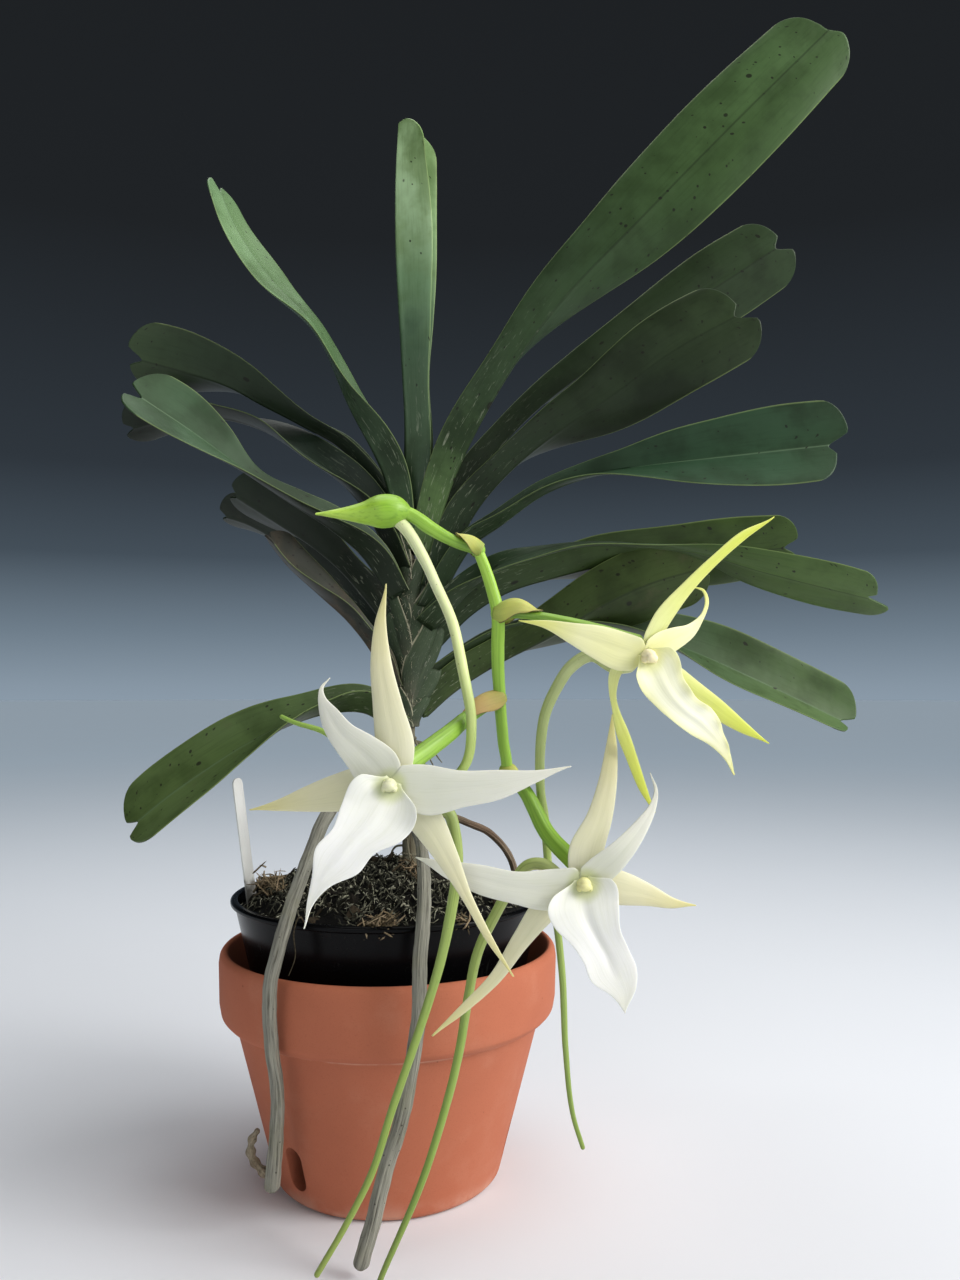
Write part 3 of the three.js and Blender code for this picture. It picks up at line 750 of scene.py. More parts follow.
@dataclass(frozen=True)
class LeafFinish:
    """Smooth leathery leaf, with colours on each face from the base to the tip: partly its own, partly
    painted shade.

    Attributes:
        name: The material's name.
        upper: Colours of the inner face, base to tip, darker as painted shade on leaves that lie in shade.
        under: Colours of the outer face, base to tip, darker as painted shade on leaves that lie in shade.
        spots: The share of small dark spots.
        scratches: How strong the pale scratches near the base are.
        worn: How brown and weathered it is.
    """

    name: str
    upper: tuple[str, ...]
    under: tuple[str, ...]
    spots: float = 0.1
    scratches: float = 0.5
    worn: float = 0.0

    def build(self) -> bpy.types.Material:
        """Builds the material.

        Returns:
            The material.
        """
        bench = Bench.material(self.name)
        across, along, face = bench.split(bench.reading("share"))
        grain, place = bench.reading("grain"), bench.place()
        cloud = bench.noise(place, 30, 5)
        fibre = bench.noise(bench.stretch(grain, (620, 40, 90)), 1.0, 2)
        shift = along + (cloud - 0.5) * 0.3
        over = bench.rise(face, -0.3, 0.3)
        body = bench.mix(over, bench.ramp(shift, self.under), bench.ramp(shift, self.upper))
        body = bench.mix(bench.rise(cloud, 0.42, 0.66) * 0.6, body, "#8a9768", "MULTIPLY")
        # Painted shade: the half of the blade on one side of the midrib is darkened, standing in for the
        # shade of its fold.
        body = bench.mix(bench.rise(across, 0.015, -0.015) * 0.35, body, "#a9b48c", "MULTIPLY")
        body = bench.mix(bench.rise(fibre, 0.45, 0.8) * 0.25, body, "#8b9a70", "MULTIPLY")
        rib = 1 - bench.rise(abs(across), 0.01, 0.035)
        body = bench.mix(rib * 0.5, body, bench.mix(over, "#18230f", "#5f7558"))
        rim = bench.rise(abs(across), 0.962, 0.988)
        body = bench.mix(rim * 0.3, body, "#93a565")
        dark = bench.spots(bench.stretch(grain, (150, 120, 300)), 1.0, self.spots, 0.3)
        specks = bench.spots(grain, 300, self.spots * 2.4, 0.33)
        body = bench.mix(bench.clamp(dark + specks) * 0.85, body, "#15120b")
        scars = bench.noise(bench.stretch(grain, (620, 130, 60)), 1.0, 3, 0.6, 0.9)
        scars = bench.rise(scars, 0.61, 0.68) * bench.rise(along, 0.42, 0.05) * self.scratches
        body = bench.mix(scars * 0.8, body, "#a9ad95")
        stain = bench.rise(bench.noise(place, 55, 5, 0.65), 0.62 - 0.2 * self.worn, 0.78) * self.worn
        body = bench.mix(stain, body, "#55483a")
        swell = bench.noise(place, 150, 1)
        return bench.surface(
            Base_Color=body,
            Roughness=0.38 + cloud * 0.16 + rim * 0.1 + stain * 0.3,
            Normal=bench.bump(swell, 0.3, 0.6),
            Specular_IOR_Level=0.22,
        )


@dataclass(frozen=True)
class PetalFinish:
    """Waxy petal or sepal, tinted from its foot to its tip and round the flower's heart.

    Attributes:
        name: The material's name.
        colours: Colours from the foot to the tip.
        heart: The tint close round the column.
        back: The tint of the back face.
        edge: The tint towards the margins.
        edge_share: How strong that tint is.
        veins: How strong the faint long veins are.
    """

    name: str
    colours: tuple[str, ...]
    heart: str = "#bcc482"
    back: str = "#d9dcae"
    edge: str = "#f2f2e8"
    edge_share: float = 0.25
    veins: float = 0.14

    def build(self) -> bpy.types.Material:
        """Builds the material.

        Returns:
            The material.
        """
        bench = Bench.material(self.name)
        across, along, face = bench.split(bench.reading("share"))
        grain, place = bench.reading("grain"), bench.place()
        cloud = bench.noise(place, 70, 4)
        fibre = bench.noise(bench.stretch(grain, (1100, 30, 60)), 1.0, 2)
        body = bench.ramp(along + (cloud - 0.5) * 0.1, self.colours)
        body = bench.mix(bench.rise(face, 0.3, -0.3) * 0.35, body, self.back, "MULTIPLY")
        body = bench.mix(bench.rise(abs(across), 0.5, 1.0) * self.edge_share, body, self.edge)
        body = bench.mix(bench.rise(fibre, 0.45, 0.8) * self.veins, body, "#c3c8a8", "MULTIPLY")
        _, _, far = bench.split(grain)
        body = bench.mix(bench.rise(far + (cloud - 0.5) * 0.003, 0.0092, 0.0045) * 0.62, body, self.heart)
        sparkle = bench.noise(place, 2600, 2)
        height = fibre * 0.6 + cloud * 0.8 + sparkle * 0.08
        return bench.surface(
            Base_Color=body,
            Roughness=0.42 + cloud * 0.14,
            Normal=bench.bump(height, 0.16, 0.55),
            Subsurface_Weight=0.18,
            Subsurface_Radius=(0.9, 0.95, 0.6),
            Subsurface_Scale=0.003,
            Specular_IOR_Level=0.4,
        )


@dataclass(frozen=True)
class StalkFinish:
    """Smooth green stalk, spur or bud, with faint grooves along it.

    Attributes:
        name: The material's name.
        colours: Colours along the rod.
        streak: The darker colour of the grooves.
        gloss: The roughness where it is smoothest.
    """

    name: str
    colours: tuple[str, ...]
    streak: str = "#7f9a4c"
    gloss: float = 0.34

    def build(self) -> bpy.types.Material:
        """Builds the material.

        Returns:
            The material.
        """
        bench = Bench.material(self.name)
        _, along, _ = bench.split(bench.reading("share"))
        grain, place = bench.reading("grain"), bench.place()
        cloud = bench.noise(place, 120, 4)
        fibre = bench.noise(bench.stretch(grain, (1000, 1000, 18)), 1.0, 3)
        body = bench.ramp(along + (cloud - 0.5) * 0.12, self.colours)
        body = bench.mix(bench.rise(fibre, 0.48, 0.72) * 0.45, body, self.streak, "MULTIPLY")
        freckles = bench.spots(grain, 700, 0.06, 0.3)
        body = bench.mix(freckles * 0.5, body, "#6c5f33")
        return bench.surface(
            Base_Color=body,
            Roughness=self.gloss + cloud * 0.18,
            Normal=bench.bump(fibre * 0.7 + cloud * 0.4, 0.25, 0.7),
            Subsurface_Weight=0.1,
            Subsurface_Radius=(0.6, 0.9, 0.3),
            Subsurface_Scale=0.002,
        )


@dataclass(frozen=True)
class RootFinish:
    """Matt root or cane skin, wrinkled lengthwise with dark cracks.

    Attributes:
        name: The material's name.
        pale: The skin's lightest colour.
        deep: The skin's darker colour.
        crack: The colour in its wrinkles.
        tinge: A colour that stains it in patches.
    """

    name: str
    pale: str
    deep: str
    crack: str
    tinge: str

    def build(self) -> bpy.types.Material:
        """Builds the material.

        Returns:
            The material.
        """
        bench = Bench.material(self.name)
        grain, place = bench.reading("grain"), bench.place()
        fibre = bench.noise(bench.stretch(grain, (900, 900, 38)), 1.0, 5, 0.65)
        hair = bench.noise(bench.stretch(grain, (2300, 2300, 60)), 1.0, 3, 0.6)
        patch = bench.noise(place, 45, 4)
        body = bench.ramp(fibre, (self.deep, self.deep, self.pale, self.pale))
        body = bench.mix(bench.rise(patch, 0.5, 0.72) * 0.5, body, self.tinge)
        cracks = bench.rise(hair, 0.44, 0.34)
        wrinkles = bench.rise(fibre, 0.42, 0.33)
        body = bench.mix(bench.clamp(cracks * 0.55 + wrinkles * 0.6), body, self.crack)
        specks = bench.spots(grain, 520, 0.12, 0.32)
        body = bench.mix(specks * 0.7, body, "#2b261c")
        height = fibre + hair * 0.35 - cracks * 0.3 + patch * 0.5
        return bench.surface(
            Base_Color=body, Roughness=0.82 + patch * 0.12, Normal=bench.bump(height, 0.8, 0.9),
            Specular_IOR_Level=0.25,
        )


@dataclass(frozen=True)
class ClayFinish:
    """Smooth unglazed fired clay: fine grit, soft cloudy tones, pale dust in its crease and at its foot."""

    name: str = "unglazed_clay"
    body: str = "#b96c4f"
    fired: str = "#a55c42"
    bloom: str = "#c98c72"
    crease: float = 0.088

    def build(self) -> bpy.types.Material:
        """Builds the material.

        Returns:
            The material.
        """
        bench = Bench.material(self.name)
        place = bench.place()
        _, _, height = bench.split(place)
        cloud = bench.noise(place, 12, 5, 0.55)
        grit = bench.noise(place, 1500, 3, 0.6)
        body = bench.ramp(cloud, (self.fired, self.body, self.body))
        body = bench.mix(bench.rise(bench.noise(place, 26, 6, 0.65), 0.5, 0.75) * 0.25, body, self.bloom)
        body = bench.mix(bench.rise(grit, 0.5, 0.8) * 0.2, body, "#9a5a3e", "MULTIPLY")
        patchy = bench.rise(bench.noise(place, 60, 4), 0.35, 0.65)
        line = bench.rise(abs(height - self.crease), 0.0016, 0.0004) * 0.5
        body = bench.mix((bench.rise(height, 0.012, 0.0) * 0.45 + line) * patchy, body, "#dcb39d")
        marks = bench.clamp(bench.spots(place, 55, 0.04, 0.12) + bench.spots(place, 260, 0.04, 0.2))
        body = bench.mix(marks * 0.45, body, "#6f3826")
        return bench.surface(
            Base_Color=body,
            Roughness=0.74 + cloud * 0.16,
            Normal=bench.bump(grit * 0.4 + cloud * 0.5 - marks * 0.3, 0.2, 0.6),
            Specular_IOR_Level=0.3,
        )


@dataclass(frozen=True)
class GlossPlasticFinish:
    """Smooth black moulded plastic with a little dust, dried drips and fine scratches."""

    name: str = "gloss_black_plastic"
    body: str = "#070708"
    dust: str = "#45433c"

    def build(self) -> bpy.types.Material:
        """Builds the material.

        Returns:
            The material.
        """
        bench = Bench.material(self.name)
        place = bench.place()
        cloud = bench.noise(place, 40, 5)
        drips = bench.noise(bench.stretch(place, (260, 260, 14)), 1.0, 3)
        dust = bench.rise(bench.noise(place, 900, 3), 0.62, 0.78) * bench.rise(cloud, 0.4, 0.7)
        stain = bench.rise(drips, 0.6, 0.75) * bench.rise(cloud, 0.45, 0.65)
        body = bench.mix(dust * 0.4 + stain * 0.12, self.body, self.dust)
        return bench.surface(
            Base_Color=body,
            Roughness=0.2 + cloud * 0.1 + stain * 0.25 + dust * 0.3,
            Normal=bench.bump(cloud + dust * 0.3, 0.12, 0.35),
            Specular_IOR_Level=0.1,
        )


@dataclass(frozen=True)
class BarkFinish:
    """Rough crumbs of bark, moss or fibre, each with its own tone as its share reading's third number.

    Attributes:
        name: The material's name.
        tones: Colours for the tones from 0 to 1.
        relief: The height of its roughness, in millimetres.
    """

    name: str
    tones: tuple[str, ...]
    relief: float = 0.5

    def build(self) -> bpy.types.Material:
        """Builds the material.

        Returns:
            The material.
        """
        bench = Bench.material(self.name)
        _, _, tone = bench.split(bench.reading("share"))
        place = bench.place()
        cloud = bench.noise(place, 210, 5, 0.65)
        crumb = bench.noise(place, 900, 4, 0.6)
        body = bench.ramp(tone * 0.75 + cloud * 0.25, self.tones)
        body = bench.mix(bench.rise(crumb, 0.55, 0.35) * 0.6, body, "#3a342a", "MULTIPLY")
        return bench.surface(
            Base_Color=body, Roughness=0.86 + cloud * 0.1,
            Normal=bench.bump(cloud + crumb * 0.5, self.relief, 0.9), Specular_IOR_Level=0.2,
        )


@dataclass(frozen=True)
class LabelFinish:
    """Thin white plastic, faintly scuffed, with soil at its foot."""

    name: str = "white_label_plastic"
    body: str = "#e9e9e4"
    soil_height: float = 0.158

    def build(self) -> bpy.types.Material:
        """Builds the material.

        Returns:
            The material.
        """
        bench = Bench.material(self.name)
        place = bench.place()
        _, _, height = bench.split(place)
        cloud = bench.noise(place, 150, 4)
        scuff = bench.noise(bench.stretch(place, (900, 900, 60)), 1.0, 3)
        soil = bench.rise(height + (cloud - 0.5) * 0.02, self.soil_height + 0.006, self.soil_height)
        body = bench.mix(bench.rise(scuff, 0.55, 0.75) * 0.25, self.body, "#b9b9b0")
        body = bench.mix(soil * 0.7, body, "#4b4234")
        return bench.surface(
            Base_Color=body, Roughness=0.38 + cloud * 0.2 + soil * 0.3,
            Normal=bench.bump(scuff + soil * 0.5, 0.12, 0.6),
        )


@dataclass(frozen=True)
class SheathFinish:
    """Old leaf sheath: dark green going dry and grey, with a pale hairy margin."""

    name: str = "leaf_sheath"
    green: tuple[str, ...] = ("#4a4a3a", "#2b3723", "#33422a", "#37472e")
    margin: str = "#a19d84"

    def build(self) -> bpy.types.Material:
        """Builds the material.

        Returns:
            The material.
        """
        bench = Bench.material(self.name)
        across, along, _ = bench.split(bench.reading("share"))
        grain, place = bench.reading("grain"), bench.place()
        cloud = bench.noise(place, 90, 5, 0.6)
        fibre = bench.noise(bench.stretch(grain, (1500, 90, 60)), 1.0, 4, 0.6)
        body = bench.ramp(along + (cloud - 0.5) * 0.5, self.green)
        body = bench.mix(bench.rise(fibre, 0.5, 0.75) * 0.25, body, "#6a7354")
        scratches = bench.noise(bench.stretch(grain, (900, 260, 90)), 1.0, 3, 0.6, 1.2)
        body = bench.mix(bench.rise(scratches, 0.61, 0.69) * 0.5, body, "#97998a")
        rim = bench.rise(abs(across) + (fibre - 0.5) * 0.08, 0.93, 0.985)
        body = bench.mix(rim * 0.9, body, self.margin)
        return bench.surface(
            Base_Color=body,
            Roughness=0.5 + cloud * 0.25,
            Normal=bench.bump(fibre + cloud * 0.6, 0.2, 0.8),
            Specular_IOR_Level=0.35,
        )


@dataclass(frozen=True)
class BractFinish:
    """Thin papery bract, veined lengthwise, with a dry dark edge.

    Attributes:
        name: The material's name.
        colours: Colours from the foot to the mouth.
        dry: The colour of its veins.
    """

    name: str
    colours: tuple[str, ...]
    dry: str = "#6f5a35"

    def build(self) -> bpy.types.Material:
        """Builds the material.

        Returns:
            The material.
        """
        bench = Bench.material(self.name)
        across, along, _ = bench.split(bench.reading("share"))
        grain, place = bench.reading("grain"), bench.place()
        cloud = bench.noise(place, 260, 4)
        fibre = bench.noise(bench.stretch(grain, (1600, 60, 60)), 1.0, 3)
        body = bench.ramp(along + (cloud - 0.5) * 0.3, self.colours)
        body = bench.mix(bench.rise(fibre, 0.5, 0.78) * 0.3, body, self.dry)
        edge = bench.clamp(bench.rise(abs(across), 0.9, 0.98) + bench.rise(along, 0.94, 0.99))
        body = bench.mix(edge * bench.rise(cloud, 0.25, 0.5) * 0.85, body, "#4a341f")
        return bench.surface(
            Base_Color=body,
            Roughness=0.5 + cloud * 0.2,
            Normal=bench.bump(fibre + cloud * 0.4, 0.15, 0.8),
            Subsurface_Weight=0.08,
            Subsurface_Scale=0.002,
        )


@dataclass(frozen=True)
class FloorFinish:
    """Pale matt studio floor that turns bluer far from the plant, as painted light: the cool cast that the
    far floor takes on.
    """

    name: str = "studio_floor"
    near: str = "#e8eaee"
    far: str = "#d6e9f9"

    def build(self) -> bpy.types.Material:
        """Builds the material.

        Returns:
            The material.
        """
        bench = Bench.material(self.name)
        place = bench.place()
        length = bench.node("ShaderNodeVectorMath", {"operation": "LENGTH"}, {0: place})
        away = Reading(bench, length.outputs["Value"])
        # Painted light: the floor turns bluer with distance, standing in for the cooler light far from the
        # lamps.
        body = bench.mix(bench.clamp(bench.rise(away, 0.1, 4.0) ** 0.75), self.near, self.far)
        body = bench.mix(bench.noise(place, 3, 3) * 0.08, body, "#c9ced6")
        return bench.surface(Base_Color=body, Roughness=0.8, Specular_IOR_Level=0.1)


# Pots and what fills them


def soften(part: bmesh.types.BMesh, angle: float, width: float, segments: int) -> None:
    """Rounds every edge that turns by more than an angle.

    Args:
        part: The shape.
        angle: The angle in degrees.
        width: The width of the rounding, in millimetres.
        segments: Faces across it.
    """
    limit = math.radians(angle)
    edges = [edge for edge in part.edges if edge.calc_face_angle(0.0) > limit]
    bevel(part, edges, width * MM, segments)


def carve(part: bmesh.types.BMesh, cutter: bmesh.types.BMesh) -> bmesh.types.BMesh:
    """Cuts one closed shape out of another.

    Args:
        part: The shape that stays.
        cutter: The shape that is taken away.

    Returns:
        What is left.
    """
    things = []
    for shape in (part, cutter):
        data = bpy.data.meshes.new("carving")
        shape.to_mesh(data)
        shape.free()
        things.append(stand("carving", data))
    knife = things[0].modifiers.new("knife", "BOOLEAN")
    knife.object = things[1]
    knife.operation = "DIFFERENCE"
    knife.solver = "EXACT"
    bpy.context.view_layer.update()
    cut = bpy.data.meshes.new_from_object(things[0].evaluated_get(bpy.context.evaluated_depsgraph_get()))
    left = bmesh.new()
    left.from_mesh(cut)
    for thing in things:
        data = thing.data
        bpy.data.objects.remove(thing)
        bpy.data.meshes.remove(data)
    bpy.data.meshes.remove(cut)
    return left


@dataclass
class OuterPot:
    """Terracotta pot: tapered, with a deep rim band and three drainage slots low in its wall."""

    rim_radius: float = 95.0
    height: float = 127.0
    base_radius: float = 63.0
    wall: float = 7.0
    floor: float = 9.0
    crease_radius: float = 85.6
    crease_height: float = 88.0
    slot_radius: float = 6.0
    slot_reach: float = 6.0
    slot_middle: float = 22.0
    slot_depth: float = 60.0
    slot_place: float = 70.0
    slot_angles: tuple[float, ...] = (-40.0, 80.0, 200.0)
    slot_band: tuple[float, float] = (5.0, 40.0)
    slot_edge: float = 0.9

    def _profile(self) -> list[tuple[float, float]]:
        """Lists the corners of the wall, from the underside round to the floor inside.

        Returns:
            Radius and height of each corner, in millimetres.
        """
        rim, top = self.rim_radius, self.height
        crease, step = self.crease_radius, self.crease_height
        return [
            (0, 0), (self.base_radius - 2.5, 0), (self.base_radius, 2.5),
            (crease, step), (crease + 4.6, step + 1.2), (rim - 1.8, step + 4.4), (rim - 0.6, step + 11),
            (rim, top - 7), (rim - 0.6, top - 2.6), (rim - 2.6, top - 0.2), (rim - 4.6, top - 0.4),
            (rim - 5.6, top - 3), (crease - self.wall + 0.6, step + 4),
            (self.base_radius - self.wall + 1, self.floor + 3),
            (self.base_radius - self.wall - 3, self.floor), (0, self.floor),
        ]

    def _slots(self) -> bmesh.types.BMesh:
        """Makes the three round-ended bars that cut the slots.

        Returns:
            The bars.
        """
        cutter = bmesh.new()
        for angle in self.slot_angles:
            made = bmesh.ops.create_cone(
                cutter, cap_ends=True, segments=32, radius1=self.slot_radius * MM,
                radius2=self.slot_radius * MM, depth=self.slot_depth * MM,
            )
            verts = made["verts"]
            for vertex in verts:
                vertex.co.y += math.copysign(self.slot_reach * MM, vertex.co.y)
            out = Matrix.Translation(Vector((0, -self.slot_place, self.slot_middle)) * MM)
            lying = Matrix.Rotation(math.radians(90), 4, "X")
            turn = Matrix.Rotation(math.radians(angle), 4, "Z") @ out @ lying
            bmesh.ops.transform(cutter, matrix=turn, verts=verts)
        bmesh.ops.recalc_face_normals(cutter, faces=cutter.faces)
        return cutter

    def build(self) -> None:
        """Builds the pot."""
        skin = Skin()
        wall = skin.turned(self._profile(), 160)
        soften(wall, angle=16, width=1.3, segments=3)
        cut = carve(wall, self._slots())
        low, high = self.slot_band
        sharp = math.radians(55)
        edges = [
            edge for edge in cut.edges
            if edge.calc_face_angle(0.0) > sharp and all(low < vert.co.z / MM < high for vert in edge.verts)
        ]
        bevel(cut, edges, self.slot_edge * MM, 2)
        skin.take(cut)
        skin.piece("outer_pot", ClayFinish().build(), "terracotta", ["terracotta_pot"], crease=38)


@dataclass
class InnerPot:
    """Thin black pot with a rolled lip."""

    lip_radius: float = 89.2
    lip_height: float = 154.6
    top_radius: float = 86.6
    base_radius: float = 53.0
    wall: float = 1.4
    lip: float = 3.6
    bottom: float = 9.3

    def build(self) -> None:
        """Builds the pot."""
        under, floor = self.lip_height - self.lip, self.bottom + self.wall + 0.4
        skin = Skin()
        pot = skin.turned(
            [
                (0, self.bottom), (self.base_radius, self.bottom), (self.top_radius, under),
                (self.lip_radius - 0.2, under + 0.7), (self.lip_radius, self.lip_height - 1),
                (self.lip_radius - 1, self.lip_height), (self.top_radius - self.wall, self.lip_height),
                (self.top_radius - self.wall, under), (self.base_radius - self.wall, floor), (0, floor),
            ],
            128,
        )
        soften(pot, angle=25, width=0.5, segments=3)
        skin.take(pot)
        skin.piece("inner_pot_shell", GlossPlasticFinish().build(), "black_plastic", ["inner_pot"], crease=40)


@dataclass
class Medium:
    """Heaped bark and moss: a dark ground, bark chips, a mat of short curled strands and dry tufts.

    Each tuft has a middle, a number of strands and how far they spread.
    """

    rim_height: float = 148.0
    crown: float = 22.0
    radius: float = 85.2
    chips: int = 70
    strands_each: int = 110
    mats: int = 60
    mat_kinds: int = 3
    mat_turn: float = 2.4
    seed: int = 7
    ground_floor: float = 120.0
    tufts: tuple[tuple[Point, int, float], ...] = (
        ((3, -82, 155), 90, 8.5), ((44, -73, 154), 22, 4.5), ((-66, -20, 163), 80, 9),
        ((14, -20, 172), 30, 9),
    )
    stray_hair: tuple[Point, ...] = (
        (-36, -70, 150), (-38, -80, 158), (-39, -90.5, 152), (-38, -91, 141), (-41, -92, 132),
    )

    def height(self, x: Array, y: Array) -> Array:
        """Gives the height of the heap, in millimetres.

        Args:
            x: Places across, in millimetres.
            y: Places in depth, in millimetres.

        Returns:
            The heights.
        """
        share = np.minimum(np.hypot(x, y) / self.radius, 1)
        mound = 5 * np.exp(-((x + 50) ** 2 + (y - 25) ** 2) / 450)
        lumps = (
            1.9 * np.sin(x * 0.21 + 1) * np.cos(y * 0.19)
            + 1.5 * np.sin(x * 0.47 + y * 0.39)
            + 1.2 * np.cos(x * 0.83 - y * 0.71)
        )
        return self.rim_height + self.crown * (1 - share**1.6) + (mound + lumps) * (1 - share**6)

    def _settle(self, skin: Skin, lift: float = 0.0) -> None:
        """Raises a flat layer onto the heap, so that it follows its lumps.

        Args:
            skin: The layer.
            lift: How far it lies above the heap, in millimetres.
        """
        flat = np.array([vertex.co[:] for vertex in skin.mesh.verts]) / MM
        heights = self.height(flat[:, 0], flat[:, 1]) + lift
        for vertex, height in zip(skin.mesh.verts, heights):
            vertex.co.z += float(height) * MM

    def _ground(self) -> None:
        """Builds the ground under the chips and strands: the dark bark's own colour, deepened to near-black
        as painted shade of the gaps.
        """
        skin = Skin()
        rings = [(self.radius - 0.8) * (1 - k / 40) for k in range(41)]
        part = skin.turned([(0, 0), *[(ring, 1) for ring in rings]], 128)
        random = Random(self.seed)
        for vertex in part.verts:
            x, y = vertex.co.x / MM, vertex.co.y / MM
            top = float(self.height(np.array(x), np.array(y))) + random.uniform(-1.2, 0.6)
            vertex.co.z = (top if vertex.co.z > 0.5 * MM else self.ground_floor) * MM
        skin.take(part)
        # Near-black tones: painted shade for the deep gaps between chips and strands, over the bark's own
        # dark colour.
        finish = BarkFinish("dark_ground", ("#080706", "#0f0e0b", "#1a1712"), 1.2)
        skin.piece("medium_ground", finish.build(), "medium", ["growing_medium"])

    def _chips(self) -> None:
        """Builds irregular chips of bark, part sunk in the ground."""
        random = Random(self.seed + 1)
        skin = Skin()
        for _ in range(self.chips):
            part = skin.blank()
            bmesh.ops.create_cube(part, size=1)
            bevel(part, part.edges[:], 0.16, 1)
            tone = random.random()
            layer = part.verts.layers.float_vector["share"]
            for vertex in part.verts:
                vertex.co *= random.uniform(0.86, 1.12)
                vertex[layer] = (0, 0, tone)
            size = random.uniform(4, 11)
            reach = (self.radius - 7) * math.sqrt(random.random())
            angle = random.uniform(0, math.tau)
            turn = Euler([random.uniform(-0.6, 0.6), random.uniform(-0.6, 0.6), random.uniform(0, 6)])
            deep, high = size * random.uniform(0.45, 0.8), size * random.uniform(0.25, 0.5)
            scale = Matrix.Diagonal((size, deep, high, 1))
            spot = Vector((reach * math.cos(angle), reach * math.sin(angle), random.uniform(-1.5, 0.8)))
            place = Matrix.Translation(spot * MM) @ turn.to_matrix().to_4x4() @ Matrix.Scale(MM, 4) @ scale
            bmesh.ops.transform(part, matrix=place, verts=part.verts)
            skin.take(part)
        self._settle(skin)
        finish = BarkFinish("bark_chips", ("#12100d", "#1d1913", "#2a241b", "#443a2c"), 0.5)
        skin.piece("bark_chips", finish.build(), "medium", ["growing_medium"], crease=50)

    def _strand(
        self, skin: Skin, random: Random, spot: Vector, length: float, rise: float, thick: float = 1.0
    ) -> None:
        """Adds one short curled strand.

        Args:
            skin: The piece it joins.
            random: Where its chances come from.
            spot: Its middle, in millimetres.
            length: Its length, in millimetres.
            rise: How steeply it may stand.
            thick: How thick it is, where 1 is a thin strand.
        """
        angle = random.uniform(0, math.tau)
        ahead = Vector((math.cos(angle), math.sin(angle), random.uniform(-0.4, 1) * rise)) * length / 2
        aside = Vector((-math.sin(angle), math.cos(angle), random.uniform(-0.3, 0.8))) * length
        bend = spot + aside * random.uniform(-0.5, 0.5)
        route = Route.bowed(np.array(spot - ahead), np.array(bend), np.array(spot + ahead), 6)
        thin = random.uniform(0.16, 0.42) * thick
        before = len(skin.mesh.verts)
        skin.rod(route, [thin, thin * 0.9, thin * 0.5], rings=4, around=4)
        skin.mesh.verts.ensure_lookup_table()
        layer = skin.mesh.verts.layers.float_vector["share"]
        tone = random.random() ** 1.3
        for vertex in skin.mesh.verts[before:]:
            vertex[layer] = (0, 0, tone)

    def _mat(self) -> None:
        """Builds the mat of strands: a few small mats, laid many times at different turns."""
        random = Random(self.seed + 2)
        carriers = []
        for _ in range(self.mat_kinds):
            small = Skin()
            for _ in range(self.strands_each):
                spot = Vector((random.gauss(0, 8), random.gauss(0, 8), random.uniform(0, 1.6)))
                self._strand(small, random, spot, random.uniform(2.2, 6), 0.5)
            carrier = bpy.data.meshes.new("mat")
            small.mesh.to_mesh(carrier)
            small.mesh.free()
            carriers.append(carrier)
        skin = Skin()
        for k in range(self.mats):
            reach = (self.radius - 14) * math.sqrt((k + 0.5) / self.mats)
            angle = self.mat_turn * k
            spot = Vector((reach * math.cos(angle), reach * math.sin(angle), 0)) * MM
            place = Matrix.Translation(spot) @ Matrix.Rotation(random.uniform(0, math.tau), 4, "Z")
            carrier = carriers[k % self.mat_kinds]
            carrier.transform(place)
            skin.mesh.from_mesh(carrier)
            carrier.transform(place.inverted())
        for carrier in carriers:
            bpy.data.meshes.remove(carrier)
        outside = [v for v in skin.mesh.verts if v.co.xy.length > (self.radius - 1.5) * MM]
        bmesh.ops.delete(skin.mesh, geom=outside, context="VERTS")
        self._settle(skin, 0.3)
        tones = ("#14130e", "#25241c", "#4a4a3e", "#a09e88", "#d2d0bc")
        skin.piece("moss_strands", BarkFinish("moss", tones, 0.2).build(), "medium", ["growing_medium"])

    def _tufts(self) -> None:
        """Builds the dry tufts, and a stray hair over the lip."""
        random = Random(self.seed + 3)
        skin = Skin()
        for middle, count, reach in self.tufts:
            for _ in range(count):
                offset = Vector([random.gauss(0, reach / 2.4) for _ in range(3)])
                offset.z *= 0.7
                self._strand(skin, random, Vector(middle) + offset, random.uniform(4, 11), 1.2, 1.7)
        skin.rod(Route.through(self.stray_hair), [0.4, 0.35, 0.2], rings=24, around=6)
        tones = ("#423a2b", "#766850", "#9a866a", "#b3a184")
        skin.piece("dry_tufts", BarkFinish("dry_fibre", tones, 0.2).build(), "medium", ["growing_medium"])

    def build(self) -> None:
        """Builds the ground, the chips, the mat and the tufts."""
        self._ground()
        self._chips()
        self._mat()
        self._tufts()


@dataclass
class PlantLabel:
    """Plain white strip with a rounded top, pushed into the medium."""

    width: float = 11.0
    thickness: float = 0.9
    length: float = 83.0
    facing: float = 75.0
    lean: float = -7.6
    middle: Point = (-81, -9, 179)
    corner: float = 4.2

    def build(self) -> None:
        """Builds the strip."""
        skin = Skin()
        part = skin.blank()
        bmesh.ops.create_cube(part, size=1)
        size = Matrix.Diagonal((self.width * MM, self.thickness * MM, self.length * MM, 1))
        bmesh.ops.transform(part, matrix=size, verts=part.verts)
        corners = [
            edge for edge in part.edges
            if edge.verts[0].co.z > 0
            and abs(edge.verts[0].co.y - edge.verts[1].co.y) > self.thickness * MM / 2
        ]
        bevel(part, corners, self.corner * MM, 8)
        soften(part, angle=60, width=0.15, segments=2)
        lean = Euler((0, math.radians(self.lean), 0)).to_matrix()
        turn = lean @ Euler((0, 0, math.radians(self.facing))).to_matrix()
        place = Matrix.Translation(Vector(self.middle) * MM) @ turn.to_4x4()
        bmesh.ops.transform(part, matrix=place, verts=part.verts)
        skin.take(part)
        skin.piece("label_strip", LabelFinish().build(), "label", ["plant_label"], crease=40)


# Stem, leaves and roots


